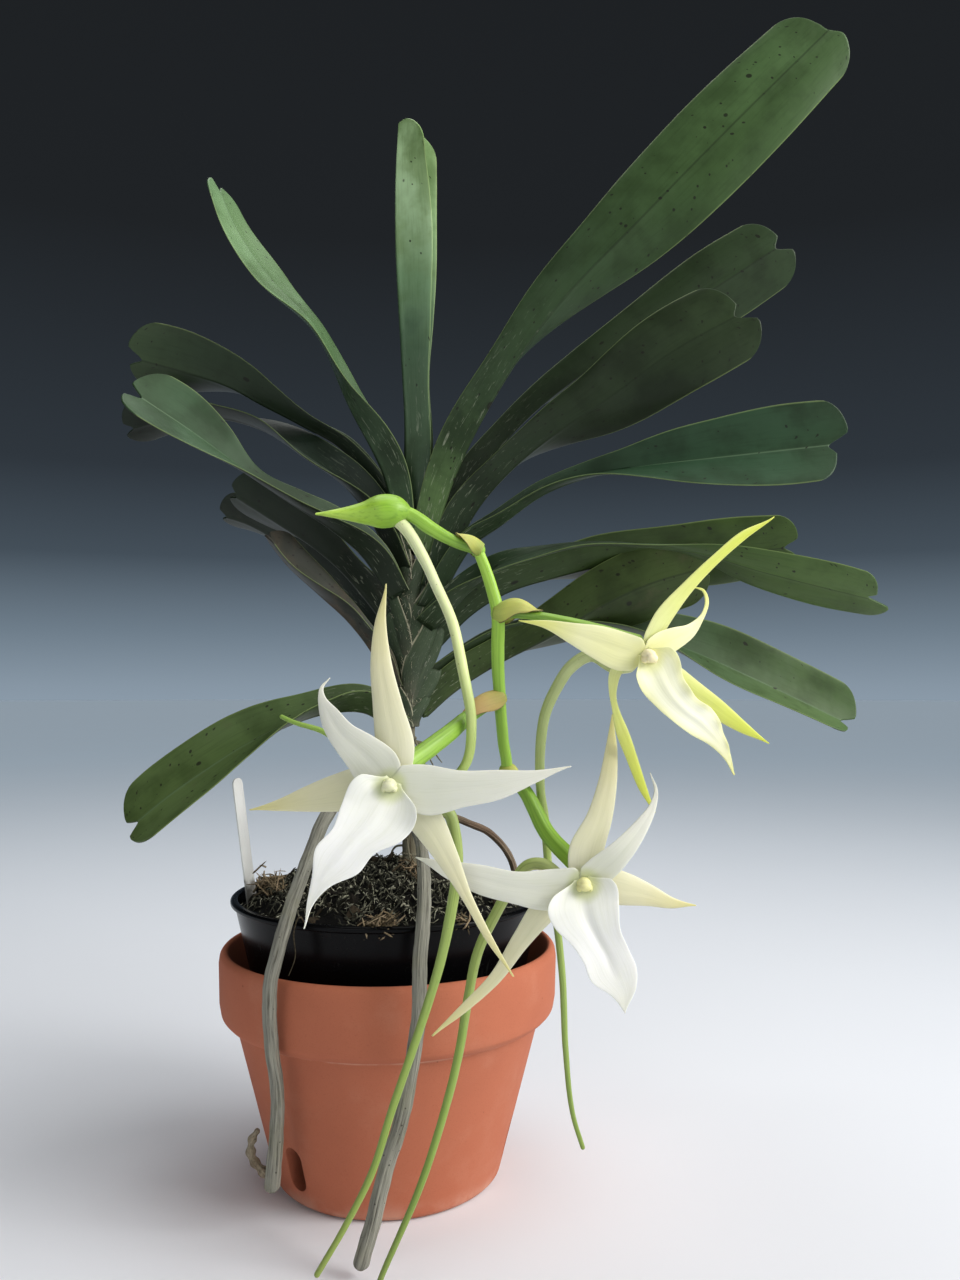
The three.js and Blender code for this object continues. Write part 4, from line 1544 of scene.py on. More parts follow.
@dataclass(frozen=True)
class Leaf:
    """A strap leaf, folded along its keel at the base and open towards its notched tip.

    Attributes:
        name: The node that it stands for.
        side: -1 on the left and 1 on the right of the stem.
        half: Its half width, in millimetres.
        lobes: How far each lobe reaches past the notch.
        turn: How far the inner face turns to the front, in degrees, base to tip.
        fold: How far it is folded open, in degrees, base to tip.
        keel: The route of its keel.
        finish: Its finish.
        widths: Its width from base to tip, as shares of the half width.
        slot: The record's material slot.
        ripple: How much its margins wave, in millimetres.
        thickness: Its thickness, in millimetres.
        notch: How deep the notch is, as a share of the lobes' mean reach.
    """

    name: str
    side: int
    half: float
    lobes: tuple[float, float]
    turn: tuple[float, ...]
    fold: tuple[float, ...]
    keel: tuple[Point, ...]
    finish: LeafFinish
    widths: tuple[float, ...] = (0.5, 0.66, 0.62, 0.8, 0.97, 1, 0.92)
    slot: str = "leaf"
    ripple: float = 1.1
    thickness: float = 1.5
    notch: float = 1.0

    def build(self, order: int) -> None:
        """Builds the leaf.

        Args:
            order: Its place in the list, which shifts its ripples and grain.
        """
        route = Route.through(self.keel)
        longest = max(self.lobes)

        def middle(along: Array, across: Array) -> Array:
            """Gives the places of the leaf's middle surface.

            Args:
                along: Shares along it, 0 to 1.
                across: Shares across it, -1 to 1.

            Returns:
                The places, in millimetres.
            """
            far = np.minimum(np.abs(across), 1)
            lobe = self.lobes[0] + (self.lobes[1] - self.lobes[0]) * smoothstep(across, -0.4, 0.4)
            lobe = lobe - self.notch * sum(self.lobes) / 2 * (1 - smoothstep(far, 0, 0.3))
            rounding = 0.68 * self.half * (1 - (1 - far**2.3) ** 0.48)
            share = (1 - (1 - along) ** 1.4) * (1 - (longest - lobe + rounding) / route.length)
            heading = unit(route.at(share, route.headings))
            upright = np.stack([-heading[:, 2], 0 * share, heading[:, 0]], -1)
            upright = self.side * unit(upright)
            front = self.side * np.cross(heading, upright)
            turned = np.radians(spread(self.turn, share))[:, None]
            opened = np.radians(spread(self.fold, share))[:, None]
            inward = upright * np.cos(turned) + front * np.sin(turned)
            outward = front * np.cos(turned) - upright * np.sin(turned)
            width = (self.half * spread(self.widths, share))[:, None]
            soft = (np.sqrt(across**2 + 0.0006) - 0.0245)[:, None]
            wave = np.sin(share * route.length / 14 + order + 1.5 * np.sign(across)) * np.abs(across) ** 2.5
            wave = wave * np.sin(np.pi * np.clip(share, 0, 1)) ** 0.7 * self.ripple
            crown = 0.05 * np.sin(np.pi * np.abs(across))[:, None] * width
            return (
                route.at(share)
                + outward * width * across[:, None] * np.sin(opened)
                + inward * width * soft * np.cos(opened)
                + inward * np.sin(opened) * (wave[:, None] - crown)
            )

        skin = Skin()
        skin.blade(
            middle, rings=110, around=60, thickness=self.thickness, length=route.length, half=self.half,
            face=self.side, gather=1.5, keel=0.5, seed=order * 1.7,
        )
        skin.piece(f"{self.name}_blade", self.finish.build(), self.slot, [self.name])


# Leaf colour ramps are partly each leaf's own colour and partly painted shade: the leaves that lie in shade
# under others get darker ramps, and this dark upper ramp serves the shaded right leaves.
GREEN_FAN = ("#2f3b27", "#30402b", "#394e33", "#41583a")

LEAVES = (
    Leaf(
        "leaf_centre", -1, 24, (2, 5), (0, 4, 8, 14), (14, 14, 16, 34),
        ((7, 0, 369), (9, -4, 421), (7, -8, 467), (4, -10, 525), (4, -13, 565), (6, -18, 598)),
        LeafFinish(
            "centre_leaf", ("#40543b", "#4e6a4c", "#9bba88", "#93b276"),
            ("#3f543b", "#44593f", "#4b6448", "#7d9d72", "#c2dfab", "#c6e2a8", "#7f9c5e"), 0.05,
        ),
        slot="leaf_pale", notch=0.1,
    ),
    Leaf(
        "leaf_right_1", 1, 26.5, (10, 3), (0, -45, -85, -88), (14, 40, 78, 84),
        ((22, -2, 348), (37, -8, 394), (66, -14, 449), (95, -18, 489), (142, -26, 536), (195, -34, 588),
         (250, -40, 641)),
        LeafFinish(
            "first_right_leaf", ("#3c4f38", "#4b6648", "#587555"),
            ("#51683c", "#2f4127", "#354b2b", "#425b31", "#4a6439", "#526b42"), 0.13,
        ),
        (0.5, 0.66, 0.62, 0.82, 1, 1, 0.86), notch=0.3,
    ),
    Leaf(
        "leaf_right_2", 1, 25, (10, 5), (0, -30, -70, -80), (14, 30, 70, 78),
        ((26, 6, 336), (46, 16, 389), (76, 26, 432), (117, 30, 467), (157, 32, 493), (202, 32, 522),
         (244, 30, 549)),
        LeafFinish("second_right_leaf", GREEN_FAN, ("#26331f", "#25331d", "#2b3b21", "#34462a"), 0.13),
        (0.5, 0.6, 0.5, 0.56, 0.8, 1, 0.92),
    ),
    Leaf(
        "leaf_right_3", 1, 26, (12, 4), (0, -40, -85, -90), (14, 40, 78, 82),
        ((29, 0, 327), (46, -4, 369), (69, -8, 397), (98, -12, 420), (125, -14, 437), (162, -18, 463),
         (208, -20, 488)),
        LeafFinish("third_right_leaf", GREEN_FAN, ("#2b3a24", "#222e1b", "#27341e", "#304024"), 0.16),
        (0.5, 0.6, 0.52, 0.64, 0.88, 1, 0.94),
    ),
    Leaf(
        "leaf_right_4", 1, 25, (12, 3), (0, 20, 60, 80, 80), (14, 30, 62, 66),
        ((24, -2, 314), (46, -10, 352), (63, -16, 364), (88, -22, 381), (113, -26, 390), (141, -30, 394),
         (190, -34, 399), (256, -36, 406)),
        LeafFinish(
            "fourth_right_leaf", ("#2f3f2a", "#344832", "#2c4730", "#345037", "#2e432b"),
            ("#2c3b26", "#31422a", "#3c5133"), 0.05,
        ),
        (0.45, 0.4, 0.3, 0.4, 0.78, 1, 0.98),
    ),
    Leaf(
        "leaf_right_5", 1, 25, (8, 8), (0, -30, -45, -45), (14, 50, 85, 85),
        ((26, 6, 294), (46, 12, 315), (68, 18, 329), (98, 24, 339), (131, 28, 347), (181, 32, 352),
         (247, 34, 359)),
        LeafFinish("fifth_right_leaf", GREEN_FAN, ("#2b3a22", "#33441f", "#3d5121", "#415722"), 0.1),
    ),
    Leaf(
        "leaf_right_6", 1, 18, (14, 3), (10, 25, 0, -35, -30), (14, 80, 85, 85, 85),
        ((24, -4, 304), (46, -14, 327), (66, -20, 341), (85, -24, 347), (108, -28, 351), (140, -32, 350),
         (171, -36, 346), (206, -40, 335), (275, -44, 317)),
        LeafFinish(
            "sixth_right_leaf", ("#34452f", "#455a42", "#4a6046", "#4a6046"),
            ("#2c3b24", "#2c3e1b", "#4c6432", "#587040"), 0.1,
        ),
        (0.7, 0.7, 0.62, 0.55, 0.36, 0.8, 1, 0.9),
    ),
    Leaf(
        "leaf_right_7", 1, 24, (6, 8), (0, -40, -75, -80), (14, 40, 66, 70),
        ((19, 0, 254), (37, 6, 270), (64, 12, 287), (91, 16, 301), (124, 18, 320), (154, 20, 334),
         (192, 22, 345)),
        LeafFinish(
            "seventh_right_leaf", GREEN_FAN, ("#3a4a26", "#394822", "#3c4b25", "#414f29"), 0.2, worn=0.35,
        ),
    ),
    Leaf(
        "leaf_right_8", 1, 26, (9, 5), (0, 20, 46, 46), (14, 46, 64, 62),
        ((24, 6, 270), (46, 16, 283), (70, 24, 296), (101, 32, 305), (139, 38, 307), (177, 42, 296),
         (222, 40, 276), (281, 36, 247)),
        LeafFinish(
            "eighth_right_leaf", ("#2c3b27", "#3c5135", "#465d3c", "#52693f", "#4d663a"),
            ("#2b3a20", "#33451f", "#3b5022"), 0.06,
        ),
    ),
    Leaf(
        "leaf_left_2", -1, 22, (3, 8), (0, 0, 6, 24, 24, 24), (14, 14, 60, 85, 85, 85),
        ((5, -4, 360), (-3, -8, 394), (-23, -10, 434), (-43, -12, 478), (-69, -14, 506), (-89, -16, 535),
         (-101, -18, 564)),
        LeafFinish(
            "second_left_leaf", ("#3c4f34", "#4a6441", "#5f7e53", "#6d8b5e", "#65835a"),
            ("#33472c", "#2b3b25", "#48603c", "#5c7850"), 0.05,
        ),
        (0.5, 0.66, 0.6, 0.55, 0.86, 0.8, 0.55), ripple=1.6,
    ),
    Leaf(
        "leaf_left_3", -1, 25, (8, 10), (0, 10, -25, -55), (14, 25, 55, 70),
        ((3, 4, 346), (-12, 10, 388), (-30, 14, 414), (-56, 16, 430), (-79, 16, 442), (-102, 14, 454),
         (-160, 10, 470)),
        LeafFinish(
            "third_left_leaf", ("#2b3a27", "#34482f", "#3f543b"),
            ("#24301f", "#1f2a1b", "#2c3a25", "#3c4c2f"), 0.08,
        ),
        (0.5, 0.5, 0.36, 0.36, 0.72, 0.95, 0.9),
    ),
    Leaf(
        "leaf_left_4", -1, 24, (8, 5), (10, 45, 0, -40), (14, 50, 70, 75),
        ((2, -2, 337), (-11, -2, 369), (-27, 2, 390), (-52, 8, 409), (-79, 16, 427), (-107, 24, 436),
         (-137, 32, 438), (-172, 40, 432)),
        LeafFinish(
            "fourth_left_leaf", ("#2a3829", "#334136", "#253320", "#293a23"),
            ("#1b2517", "#151e13", "#1a2417"), 0.06,
        ),
        (0.5, 0.62, 0.6, 0.7, 0.6, 0.7, 0.7),
    ),
    Leaf(
        "leaf_left_5", -1, 25, (9, 9), (0, 20, 35, 40), (14, 45, 65, 75),
        ((1, -8, 322), (-14, -16, 346), (-33, -22, 362), (-52, -28, 374), (-78, -36, 391),
         (-105, -46, 410), (-136, -58, 430)),
        LeafFinish(
            "fifth_left_leaf", ("#3a4a38", "#394c35", "#3f553c", "#3b5639", "#36502f"),
            ("#1e2919", "#1a2417", "#25311f"), 0.05,
        ),
        (0.5, 0.6, 0.55, 0.42, 0.3, 0.7, 1, 0.95),
    ),
    Leaf(
        "leaf_left_6", -1, 22, (6, 6), (0, -10, -30, -40), (14, 30, 60, 70),
        ((-1, -2, 306), (-15, 0, 324), (-30, 2, 341), (-48, 4, 356), (-69, 6, 370), (-97, 10, 388)),
        LeafFinish(
            "sixth_left_leaf", ("#263220", "#2b3a25"), ("#1f291a", "#1b2416", "#222d1c"), 0.08, worn=0.25,
        ),
    ),
    Leaf(
        "leaf_left_7", -1, 20, (5, 5), (0, 0, -20, -30), (14, 30, 60, 70),
        ((-2, 4, 291), (-15, 14, 308), (-30, 22, 327), (-49, 28, 343), (-68, 34, 359), (-91, 40, 373),
         (-111, 44, 380)),
        LeafFinish(
            "seventh_left_leaf", ("#232d1d", "#293521"), ("#1d261a", "#1a2317", "#212b1c"), 0.08, worn=0.3,
        ),
    ),
    Leaf(
        "leaf_left_8", -1, 15, (5, 5), (0, 10, 20, 20), (14, 30, 55, 60),
        ((1, -6, 270), (-8, -10, 290), (-22, -14, 309), (-39, -18, 325), (-55, -22, 340), (-68, -26, 357)),
        LeafFinish(
            "eighth_left_leaf", ("#343a30", "#3a3c33", "#35352e"), ("#2c3129", "#2c302a", "#35332b"), 0.2,
            scratches=0.9, worn=0.9,
        ),
        slot="leaf_brown",
    ),
    Leaf(
        "leaf_left_9", -1, 24, (6, 8), (0, 30, 45, 45), (14, 45, 70, 78),
        ((4, -6, 246), (-13, -16, 258), (-32, -24, 258), (-52, -32, 252), (-75, -40, 240), (-93, -46, 228),
         (-112, -52, 214), (-133, -56, 196)),
        LeafFinish(
            "ninth_left_leaf", ("#4b5f3a", "#55693c", "#5b6e40"),
            ("#39472a", "#3a4a29", "#3f4f2a", "#46562c", "#3f4c28"), 0.22, worn=0.25,
        ),
        slot="leaf_olive",
    ),
)


@dataclass
class Stem:
    """Bare grey cane, and above it the flat column of old leaf sheaths that clasp one another.

    Each joint has its height and its radius. A sheath reaches round the stem by the clasp at its foot,
    in degrees to each side, and by the unclasp less at its top.
    """

    x: float = 10.0
    cane_seed: int = 3
    sheath_seed: int = 5
    hairs_each: int = 34
    rootlets: int = 16
    route: tuple[Point, ...] = ((12, 2, 135), (11, 1, 190), (10, 0, 240), (10, 0, 300), (10, 0, 350))
    radii: tuple[float, ...] = (4.3, 4.1, 4.5, 4.2, 4.4, 5, 5.5, 5, 4)
    joints: tuple[tuple[float, float], ...] = (
        (176, 4.9), (196, 5), (214, 5.3), (229, 5.6), (243, 5.4), (257, 6),
    )
    sheath_rise: float = 12.0
    sheath_drop: float = 40.0
    lowest_sheath: float = 249.0
    foot_half: float = 5.0
    clasp: float = 124.0
    unclasp: float = 70.0

    def _cane(self) -> None:
        """Builds the cane, its old joints and the dead rootlets round it."""
        skin = Skin()
        route = Route.through(self.route)
        skin.rod(route, self.radii, rings=120, around=24, wobble=0.06, flute=(9, 0.09))
        for height, size in self.joints:
            share = (height - self.route[0][2]) / route.length
            spot = route.at(np.array([share]))[0]
            skin.ball(tuple(spot), (size, size, 1.5), (0.15 * math.sin(height), 0.1, 0))
        random = Random(self.cane_seed)
        for k in range(self.rootlets):
            angle = random.uniform(0, math.tau)
            start = Vector((11 + 3.6 * math.cos(angle), 3.6 * math.sin(angle), random.uniform(168, 252)))
            drop = Vector((random.uniform(-10, 10), random.uniform(-9, 6), random.uniform(-34, -9)))
            side = Vector((5 * math.cos(angle), 5 * math.sin(angle), 2))
            line = Route.through([start, start + side + drop * 0.3, start + side * 1.3 + drop])
            skin.rod(line, [0.75, 0.6, 0.3], rings=14, around=6, wobble=0.15, seed=k)
        finish = RootFinish("dry_cane", "#8f8b74", "#5d5747", "#2e2719", "#54432c")
        skin.piece("bare_cane", finish.build(), "bark", ["stem"])

    def _sheaths(self) -> None:
        """Builds one clasping sheath below each leaf, the lower ones outside the upper ones.

        Each margin rises slantwise across the stem, from one side to the other, and bears short hairs.
        """
        skin, hairs = Skin(), Skin()
        random = Random(self.sheath_seed)
        for order, leaf in enumerate(sorted(LEAVES, key=lambda leaf: leaf.keel[0][2])):
            keel = leaf.keel[0]
            top, low = keel[2] + self.sheath_rise, max(keel[2] - self.sheath_drop, self.lowest_sheath)
            reach = max(abs(keel[0] - self.x), 8.0) + 1.0
            side = leaf.side
            snug = 1 + 0.018 * (len(LEAVES) - order)

            def middle(along: Array, across: Array) -> Array:
                """Gives the places of the sheath's middle surface.

                Args:
                    along: Shares along it, 0 to 1.
                    across: Shares across it, -1 to 1.

                Returns:
                    The places, in millimetres.
                """
                closing = smoothstep(along, 0.1, 1)
                wrap = np.radians(self.clasp - self.unclasp * closing) * across
                narrow = self.foot_half
                wide = (narrow + (reach - narrow) * smoothstep(along, 0.05, 1)) * snug
                deep = (4.8 + 0.8 * smoothstep(along, 0, 0.5) - 2.4 * closing) * snug
                fray = 0.5 * np.sin(across * 9 + order) * closing
                return np.stack(
                    [
                        self.x + side * wide * np.cos(wrap),
                        keel[1] * 0.5 * along + deep * np.sin(wrap) * side,
                        low + (top - low) * along + fray,
                    ],
                    -1,
                )

            skin.blade(
                middle, rings=36, around=48, thickness=0.7, length=top - low, half=24, face=-1, seed=order,
            )
            for _ in range(self.hairs_each):
                along = np.array([random.uniform(0.25, 0.95)])
                across = np.array([side * random.choice((-1, 1, 1)) * random.uniform(0.94, 1)])
                root = middle(along, across)[0]
                x, y, z = random.uniform(-2, 2), random.uniform(-2.2, 0.4), random.uniform(0.6, 3.6)
                drift = np.array([x, y, z])
                lift = np.array([0, np.sign(root[1] + 0.1) * 0.8, 0])
                line = Route.bowed(root, root + drift * 0.5 + lift, root + drift + lift * 0.6, 6)
                hairs.rod(line, (0.2, 0.15, 0.12), rings=4, around=4)
        skin.piece("leaf_sheaths", SheathFinish().build(), "bark", ["stem"])
        finish = BarkFinish("pale_hair", ("#77745f", "#96927c", "#b5b19a"), 0.05)
        hairs.piece("sheath_hairs", finish.build(), "bark", ["stem"])

    def build(self) -> None:
        """Builds the cane and the sheaths."""
        self._cane()
        self._sheaths()


@dataclass(frozen=True)
class Root:
    """A thick aerial root, or a thin dry one.

    Attributes:
        name: The node that it stands for.
        route: Its middle line.
        radii: Its radii from the stem to its tip.
        finish: Its finish.
        slot: The record's material slot.
        fork: The route and the radii of its dry brown side root, or none.
    """

    name: str
    route: tuple[Point, ...]
    radii: tuple[float, ...]
    finish: RootFinish
    slot: str = "root"
    fork: Optional[tuple[tuple[Point, ...], tuple[float, ...]]] = None

    def build(self) -> None:
        """Builds the root and its side root."""
        skin = Skin()
        line = Route.through(self.route)
        skin.rod(line, self.radii, 200, 28, wobble=0.045, flute=(7, 0.1), seed=len(self.name))
        skin.piece(f"{self.name}_skin", self.finish.build(), self.slot, [self.name])
        if self.fork:
            route, radii = self.fork
            skin = Skin()
            skin.rod(Route.through(route), radii, 80, 20, wobble=0.12, flute=(5, 0.08), seed=2)
            skin.piece(f"{self.name}_fork", DRY_SKIN.build(), self.slot, [self.name])


SILVER_SKIN = RootFinish("silver_root_skin", "#a09e90", "#77756a", "#4a463a", "#8b8a6d")
DRY_SKIN = RootFinish("dry_root_skin", "#a79c86", "#776a56", "#372c1f", "#6a5540")
BROWN_SKIN = RootFinish("brown_root_skin", "#8b7a66", "#5f5040", "#2f251c", "#6c5343")

ROOTS = (
    Root(
        "root_left",
        ((8, -2, 212), (-2, -28, 219), (-17, -52, 218), (-27, -66, 206), (-34, -76, 187), (-41, -86, 165),
         (-46, -91, 146), (-50, -92, 127), (-50, -88, 99), (-48, -82, 73), (-49, -78, 51), (-52, -74, 21)),
        (3.4, 3.6, 3.7, 3.6, 3.6, 3.5, 4.1), SILVER_SKIN,
        fork=(
            ((-51, -75, 28), (-57, -74, 32), (-62, -73, 38), (-62.5, -72, 45), (-59, -72, 51)),
            (3, 2.3, 3, 2, 2.8, 1.8, 2.6, 1.6, 2.4, 1.5, 1.9),
        ),
    ),
    Root(
        "root_front",
        ((12, -2, 196), (18, -20, 188), (22, -52, 178), (24, -84, 161), (23, -101, 139), (23, -104, 119),
         (20, -104, 97), (15, -106, 70), (8, -108, 48), (2, -110, 24), (-4, -112, 4)),
        (3, 3.6, 3.7, 3.8, 3.9), SILVER_SKIN,
    ),
    Root(
        "root_back",
        ((13, 3, 200), (31, 12, 197), (46, 16, 191), (56, 20, 186), (66, 24, 176), (72, 27, 164),
         (73, 27, 150)),
        (2, 2.2, 2.1), BROWN_SKIN, slot="root_brown",
    ),
)


# Flower spike


BUD_NODE: Point = (51, -118, 336)
SECOND_NODE: Point = (60, -122, 306)
FIRST_NODE: Point = (61, -118, 267)
THIRD_NODE: Point = (64, -112, 233)


@dataclass
class Spike:
    """Zigzag stalk from the stem, with a short stalk to each flower and to the bud."""

    rachis: tuple[Point, ...] = (
        (12, -1, 229), (30, -40, 225), (48, -82, 226), THIRD_NODE, (62.5, -115, 248), FIRST_NODE,
        (60, -121, 287), SECOND_NODE, (56, -120, 322), BUD_NODE,
    )
    radii: tuple[float, ...] = (2.4, 2.6, 2.8, 2.8, 2.9, 3.3, 2.7)
    stalks: tuple[tuple[tuple[float, ...], tuple[Point, ...]], ...] = (
        ((2.6, 3, 3.5, 3.2), (BUD_NODE, (40, -119, 340), (29, -120, 346), (20, -121, 352), (12, -122, 355))),
        ((2.2, 2.4, 3), (SECOND_NODE, (75, -126, 305), (97, -136, 300), (121.5, -158.5, 291))),
        ((2.9, 4.1, 4.6), (FIRST_NODE, (49, -124, 260), (35, -141, 249), (15, -163, 235))),
        ((3.1, 3.9, 4.2), (THIRD_NODE, (73, -120, 223), (82, -128, 206), (92, -139, 196), (98, -148, 192))),
    )
    knuckle: Point = (3.3, 3.3, 3.6)

    def build(self) -> None:
        """Builds the stalks and their knuckles."""
        skin = Skin()
        skin.rod(Route.through(self.rachis), self.radii, 180, 20, wobble=0.02, flute=(4, 0.06))
        for order, (radii, route) in enumerate(self.stalks):
            skin.rod(Route.through(route), radii, 60, 20, wobble=0.02, flute=(5, 0.12), seed=order)
        for order, (_, route) in enumerate(self.stalks):
            skin.ball(route[0], self.knuckle, (0.2 * order, 0.2, 0))
        colours = ("#74963a", "#86ae3e", "#98c246", "#93bc43", "#aad24e")
        finish = StalkFinish("spike_green", colours, streak="#9fb868")
        skin.piece("spike_stalks", finish.build(), "spike", ["flower_spike"])


@dataclass(frozen=True)
class Bract:
    """A thin folded hood over the foot of a stalk.

    Attributes:
        name: The node that it stands for.
        foot: The knuckle that it grows from.
        tip: A point on the stalk that it points to.
        length: Its length, in millimetres.
        finish: Its finish.
        slot: The record's material slot.
        hood: How far it bulges above the stalk, in millimetres.
    """

    name: str
    foot: Point
    tip: Point
    length: float
    finish: BractFinish
    slot: str
    hood: float = 3.0

    def build(self) -> None:
        """Builds the hood."""
        foot = np.array(self.foot, float)
        heading = unit(np.array(self.tip, float) - foot)
        side = unit(np.cross(heading, (0, 0, 1)))
        above = np.cross(side, heading)

        def middle(along: Array, across: Array) -> Array:
            """Gives the places of the hood's middle surface.

            Args:
                along: Shares along it, 0 to 1.
                across: Shares across it, -1 to 1.

            Returns:
                The places, in millimetres.
            """
            turn = np.radians(150 - 78 * along) * across
            high = 3.7 + self.hood * np.sin(np.pi * np.minimum(along * 1.15, 1)) - 1.2 * along
            crinkle = 0.3 * np.sin(across * 7 + along * 5 + self.length) * np.abs(across)
            reach = self.length * along * (1 - 0.3 * across**2) - 1.5
            return (
                foot
                + heading * reach[:, None]
                + side * ((3.9 + 0.5 * along) * np.sin(turn) + crinkle)[:, None]
                + above * (high * np.cos(turn) + crinkle)[:, None]
            )

        skin = Skin()
        skin.blade(middle, rings=40, around=48, thickness=0.5, length=self.length, half=10)
        skin.piece(f"{self.name}_hood", self.finish.build(), self.slot, [self.name])


YELLOW_HOOD = BractFinish("yellow_bract", ("#8c9c42", "#b9bd5a", "#c3c46a", "#b9b45e"), "#96924a")
TAN_HOOD = BractFinish("tan_bract", ("#a5a24e", "#bfa862", "#c5a168", "#b8925e"), "#93744a")

BRACTS = (
    Bract("bract_bud", BUD_NODE, (39, -119, 342), 15, YELLOW_HOOD, "bract", 1.6),
    Bract("bract_2", SECOND_NODE, (75, -126, 305), 23, YELLOW_HOOD, "bract", 4.2),
    Bract("bract_1", FIRST_NODE, (45, -126, 256.5), 27, TAN_HOOD, "bract_tan", 3.2),
    Bract("bract_3", THIRD_NODE, (73, -118, 223), 10, YELLOW_HOOD, "bract_tan", 1.4),
)


@dataclass
class Bud:
    """Unopened flower: three closed sepals with seams, and a long spur that bends down from it."""

    route: tuple[Point, ...] = ((20, -121, 353), (12, -122, 354), (-4, -124, 352.5), (-24, -128, 351.5))
    radii: tuple[float, ...] = (3.6, 7.4, 8, 5.4, 3.4, 1.8, 0.5)
    spur: tuple[Point, ...] = (
        (9, -121, 353), (17, -121.5, 346), (26, -123, 331), (32, -125, 318), (39, -128, 302), (44, -134, 280),
        (48, -137, 255), (45, -137, 237), (33, -135, 227), (11, -134, 231), (-10, -133, 246),
        (-19, -132, 252), (-32, -131, 256), (-39, -130, 259),
    )
    spur_radii: tuple[float, ...] = (3.2, 2.6, 2.6, 2.4, 2, 1.6, 1)

    def build(self) -> None:
        """Builds the bud and its spur."""
        skin = Skin()
        skin.rod(Route.through(self.route), self.radii, 90, 36, flute=(3, 0.07), seed=0.6)
        colours = ("#86ad3a", "#8fbb36", "#a2c93f", "#b3d450", "#bcd957")
        finish = StalkFinish("bud_green", colours, streak="#9cba60")
        skin.piece("closed_bud", finish.build(), "bud", ["bud"])
        skin = Skin()
        skin.rod(Route.through(self.spur), self.spur_radii, 160, 20, wobble=0.02, flute=(4, 0.05))
        colours = ("#d9dfa6", "#e2e7b4", "#dee7a0", "#c6d780", "#a5bf5c", "#97b34d", "#7fa03a")
        finish = StalkFinish("bud_spur_green", colours, streak="#bcc98a")
        skin.piece("bud_spur_tube", finish.build(), "bud_spur", ["bud_spur"])


# Open flowers


@dataclass(frozen=True)
class BladeForm:
    """How one kind of flower blade is shaped.

    Attributes:
        depth: How far in front of the flower's back its foot is, in millimetres.
        foot: How far from the column it starts, past the column where below 0, in millimetres.
        arch: How far it arches forward, in millimetres.
        curl: How far its edges bend forward, as a share of its width.
        cup: How much more they do so at its foot.
        channel: How deep the groove along its middle is, in millimetres.
        wave: How much its edges wave, in millimetres.
        keel: How far the ridge on its back stands out, in millimetres.
        rings: Faces along it.
        around: Faces round it.
    """

    depth: float
    foot: float
    arch: float
    curl: float
    cup: float
    channel: float
    wave: float
    keel: float = 0.0
    rings: int = 90
    around: int = 44


class Whorl(Enum):
    """The kinds of blade in a flower."""

    SEPAL = BladeForm(1.0, -1.0, 0, -0.16, 0.1, 0.15, 0.1, keel=0.2)
    PETAL = BladeForm(2.2, -1.0, 5, -0.05, 0.12, 0.2, 0.25)
    LIP = BladeForm(3.0, -2.5, 9, 0.08, 0.3, -0.5, 0.5, rings=120, around=72)


@dataclass(frozen=True)
class Blade:
    """One sepal, petal or lip.

    Attributes:
        tip: Where it ends, in millimetres.
        widths: Its half widths, spread evenly from foot to tip, in millimetres.
        sway: How far its middle strays clockwise, seen from the front, spread evenly, in millimetres.
        via: Points that it passes through on the way to its tip, where it bends strongly.
        crinkle: How much its left margin is crinkled, in millimetres.
        fold: How much deeper the groove along its middle is, in millimetres.
    """

    tip: Point
    widths: tuple[float, ...]
    sway: tuple[float, ...] = (0, 0)
    via: tuple[Point, ...] = ()
    crinkle: float = 0.0
    fold: float = 0.0


@dataclass(frozen=True)
class FlowerTones:
    """The finishes of one flower's layers."""

    sepal: PetalFinish
    petal: PetalFinish
    lip: PetalFinish
    column: PetalFinish
    spur: StalkFinish
    slots: tuple[str, str] = ("sepal", "petal")


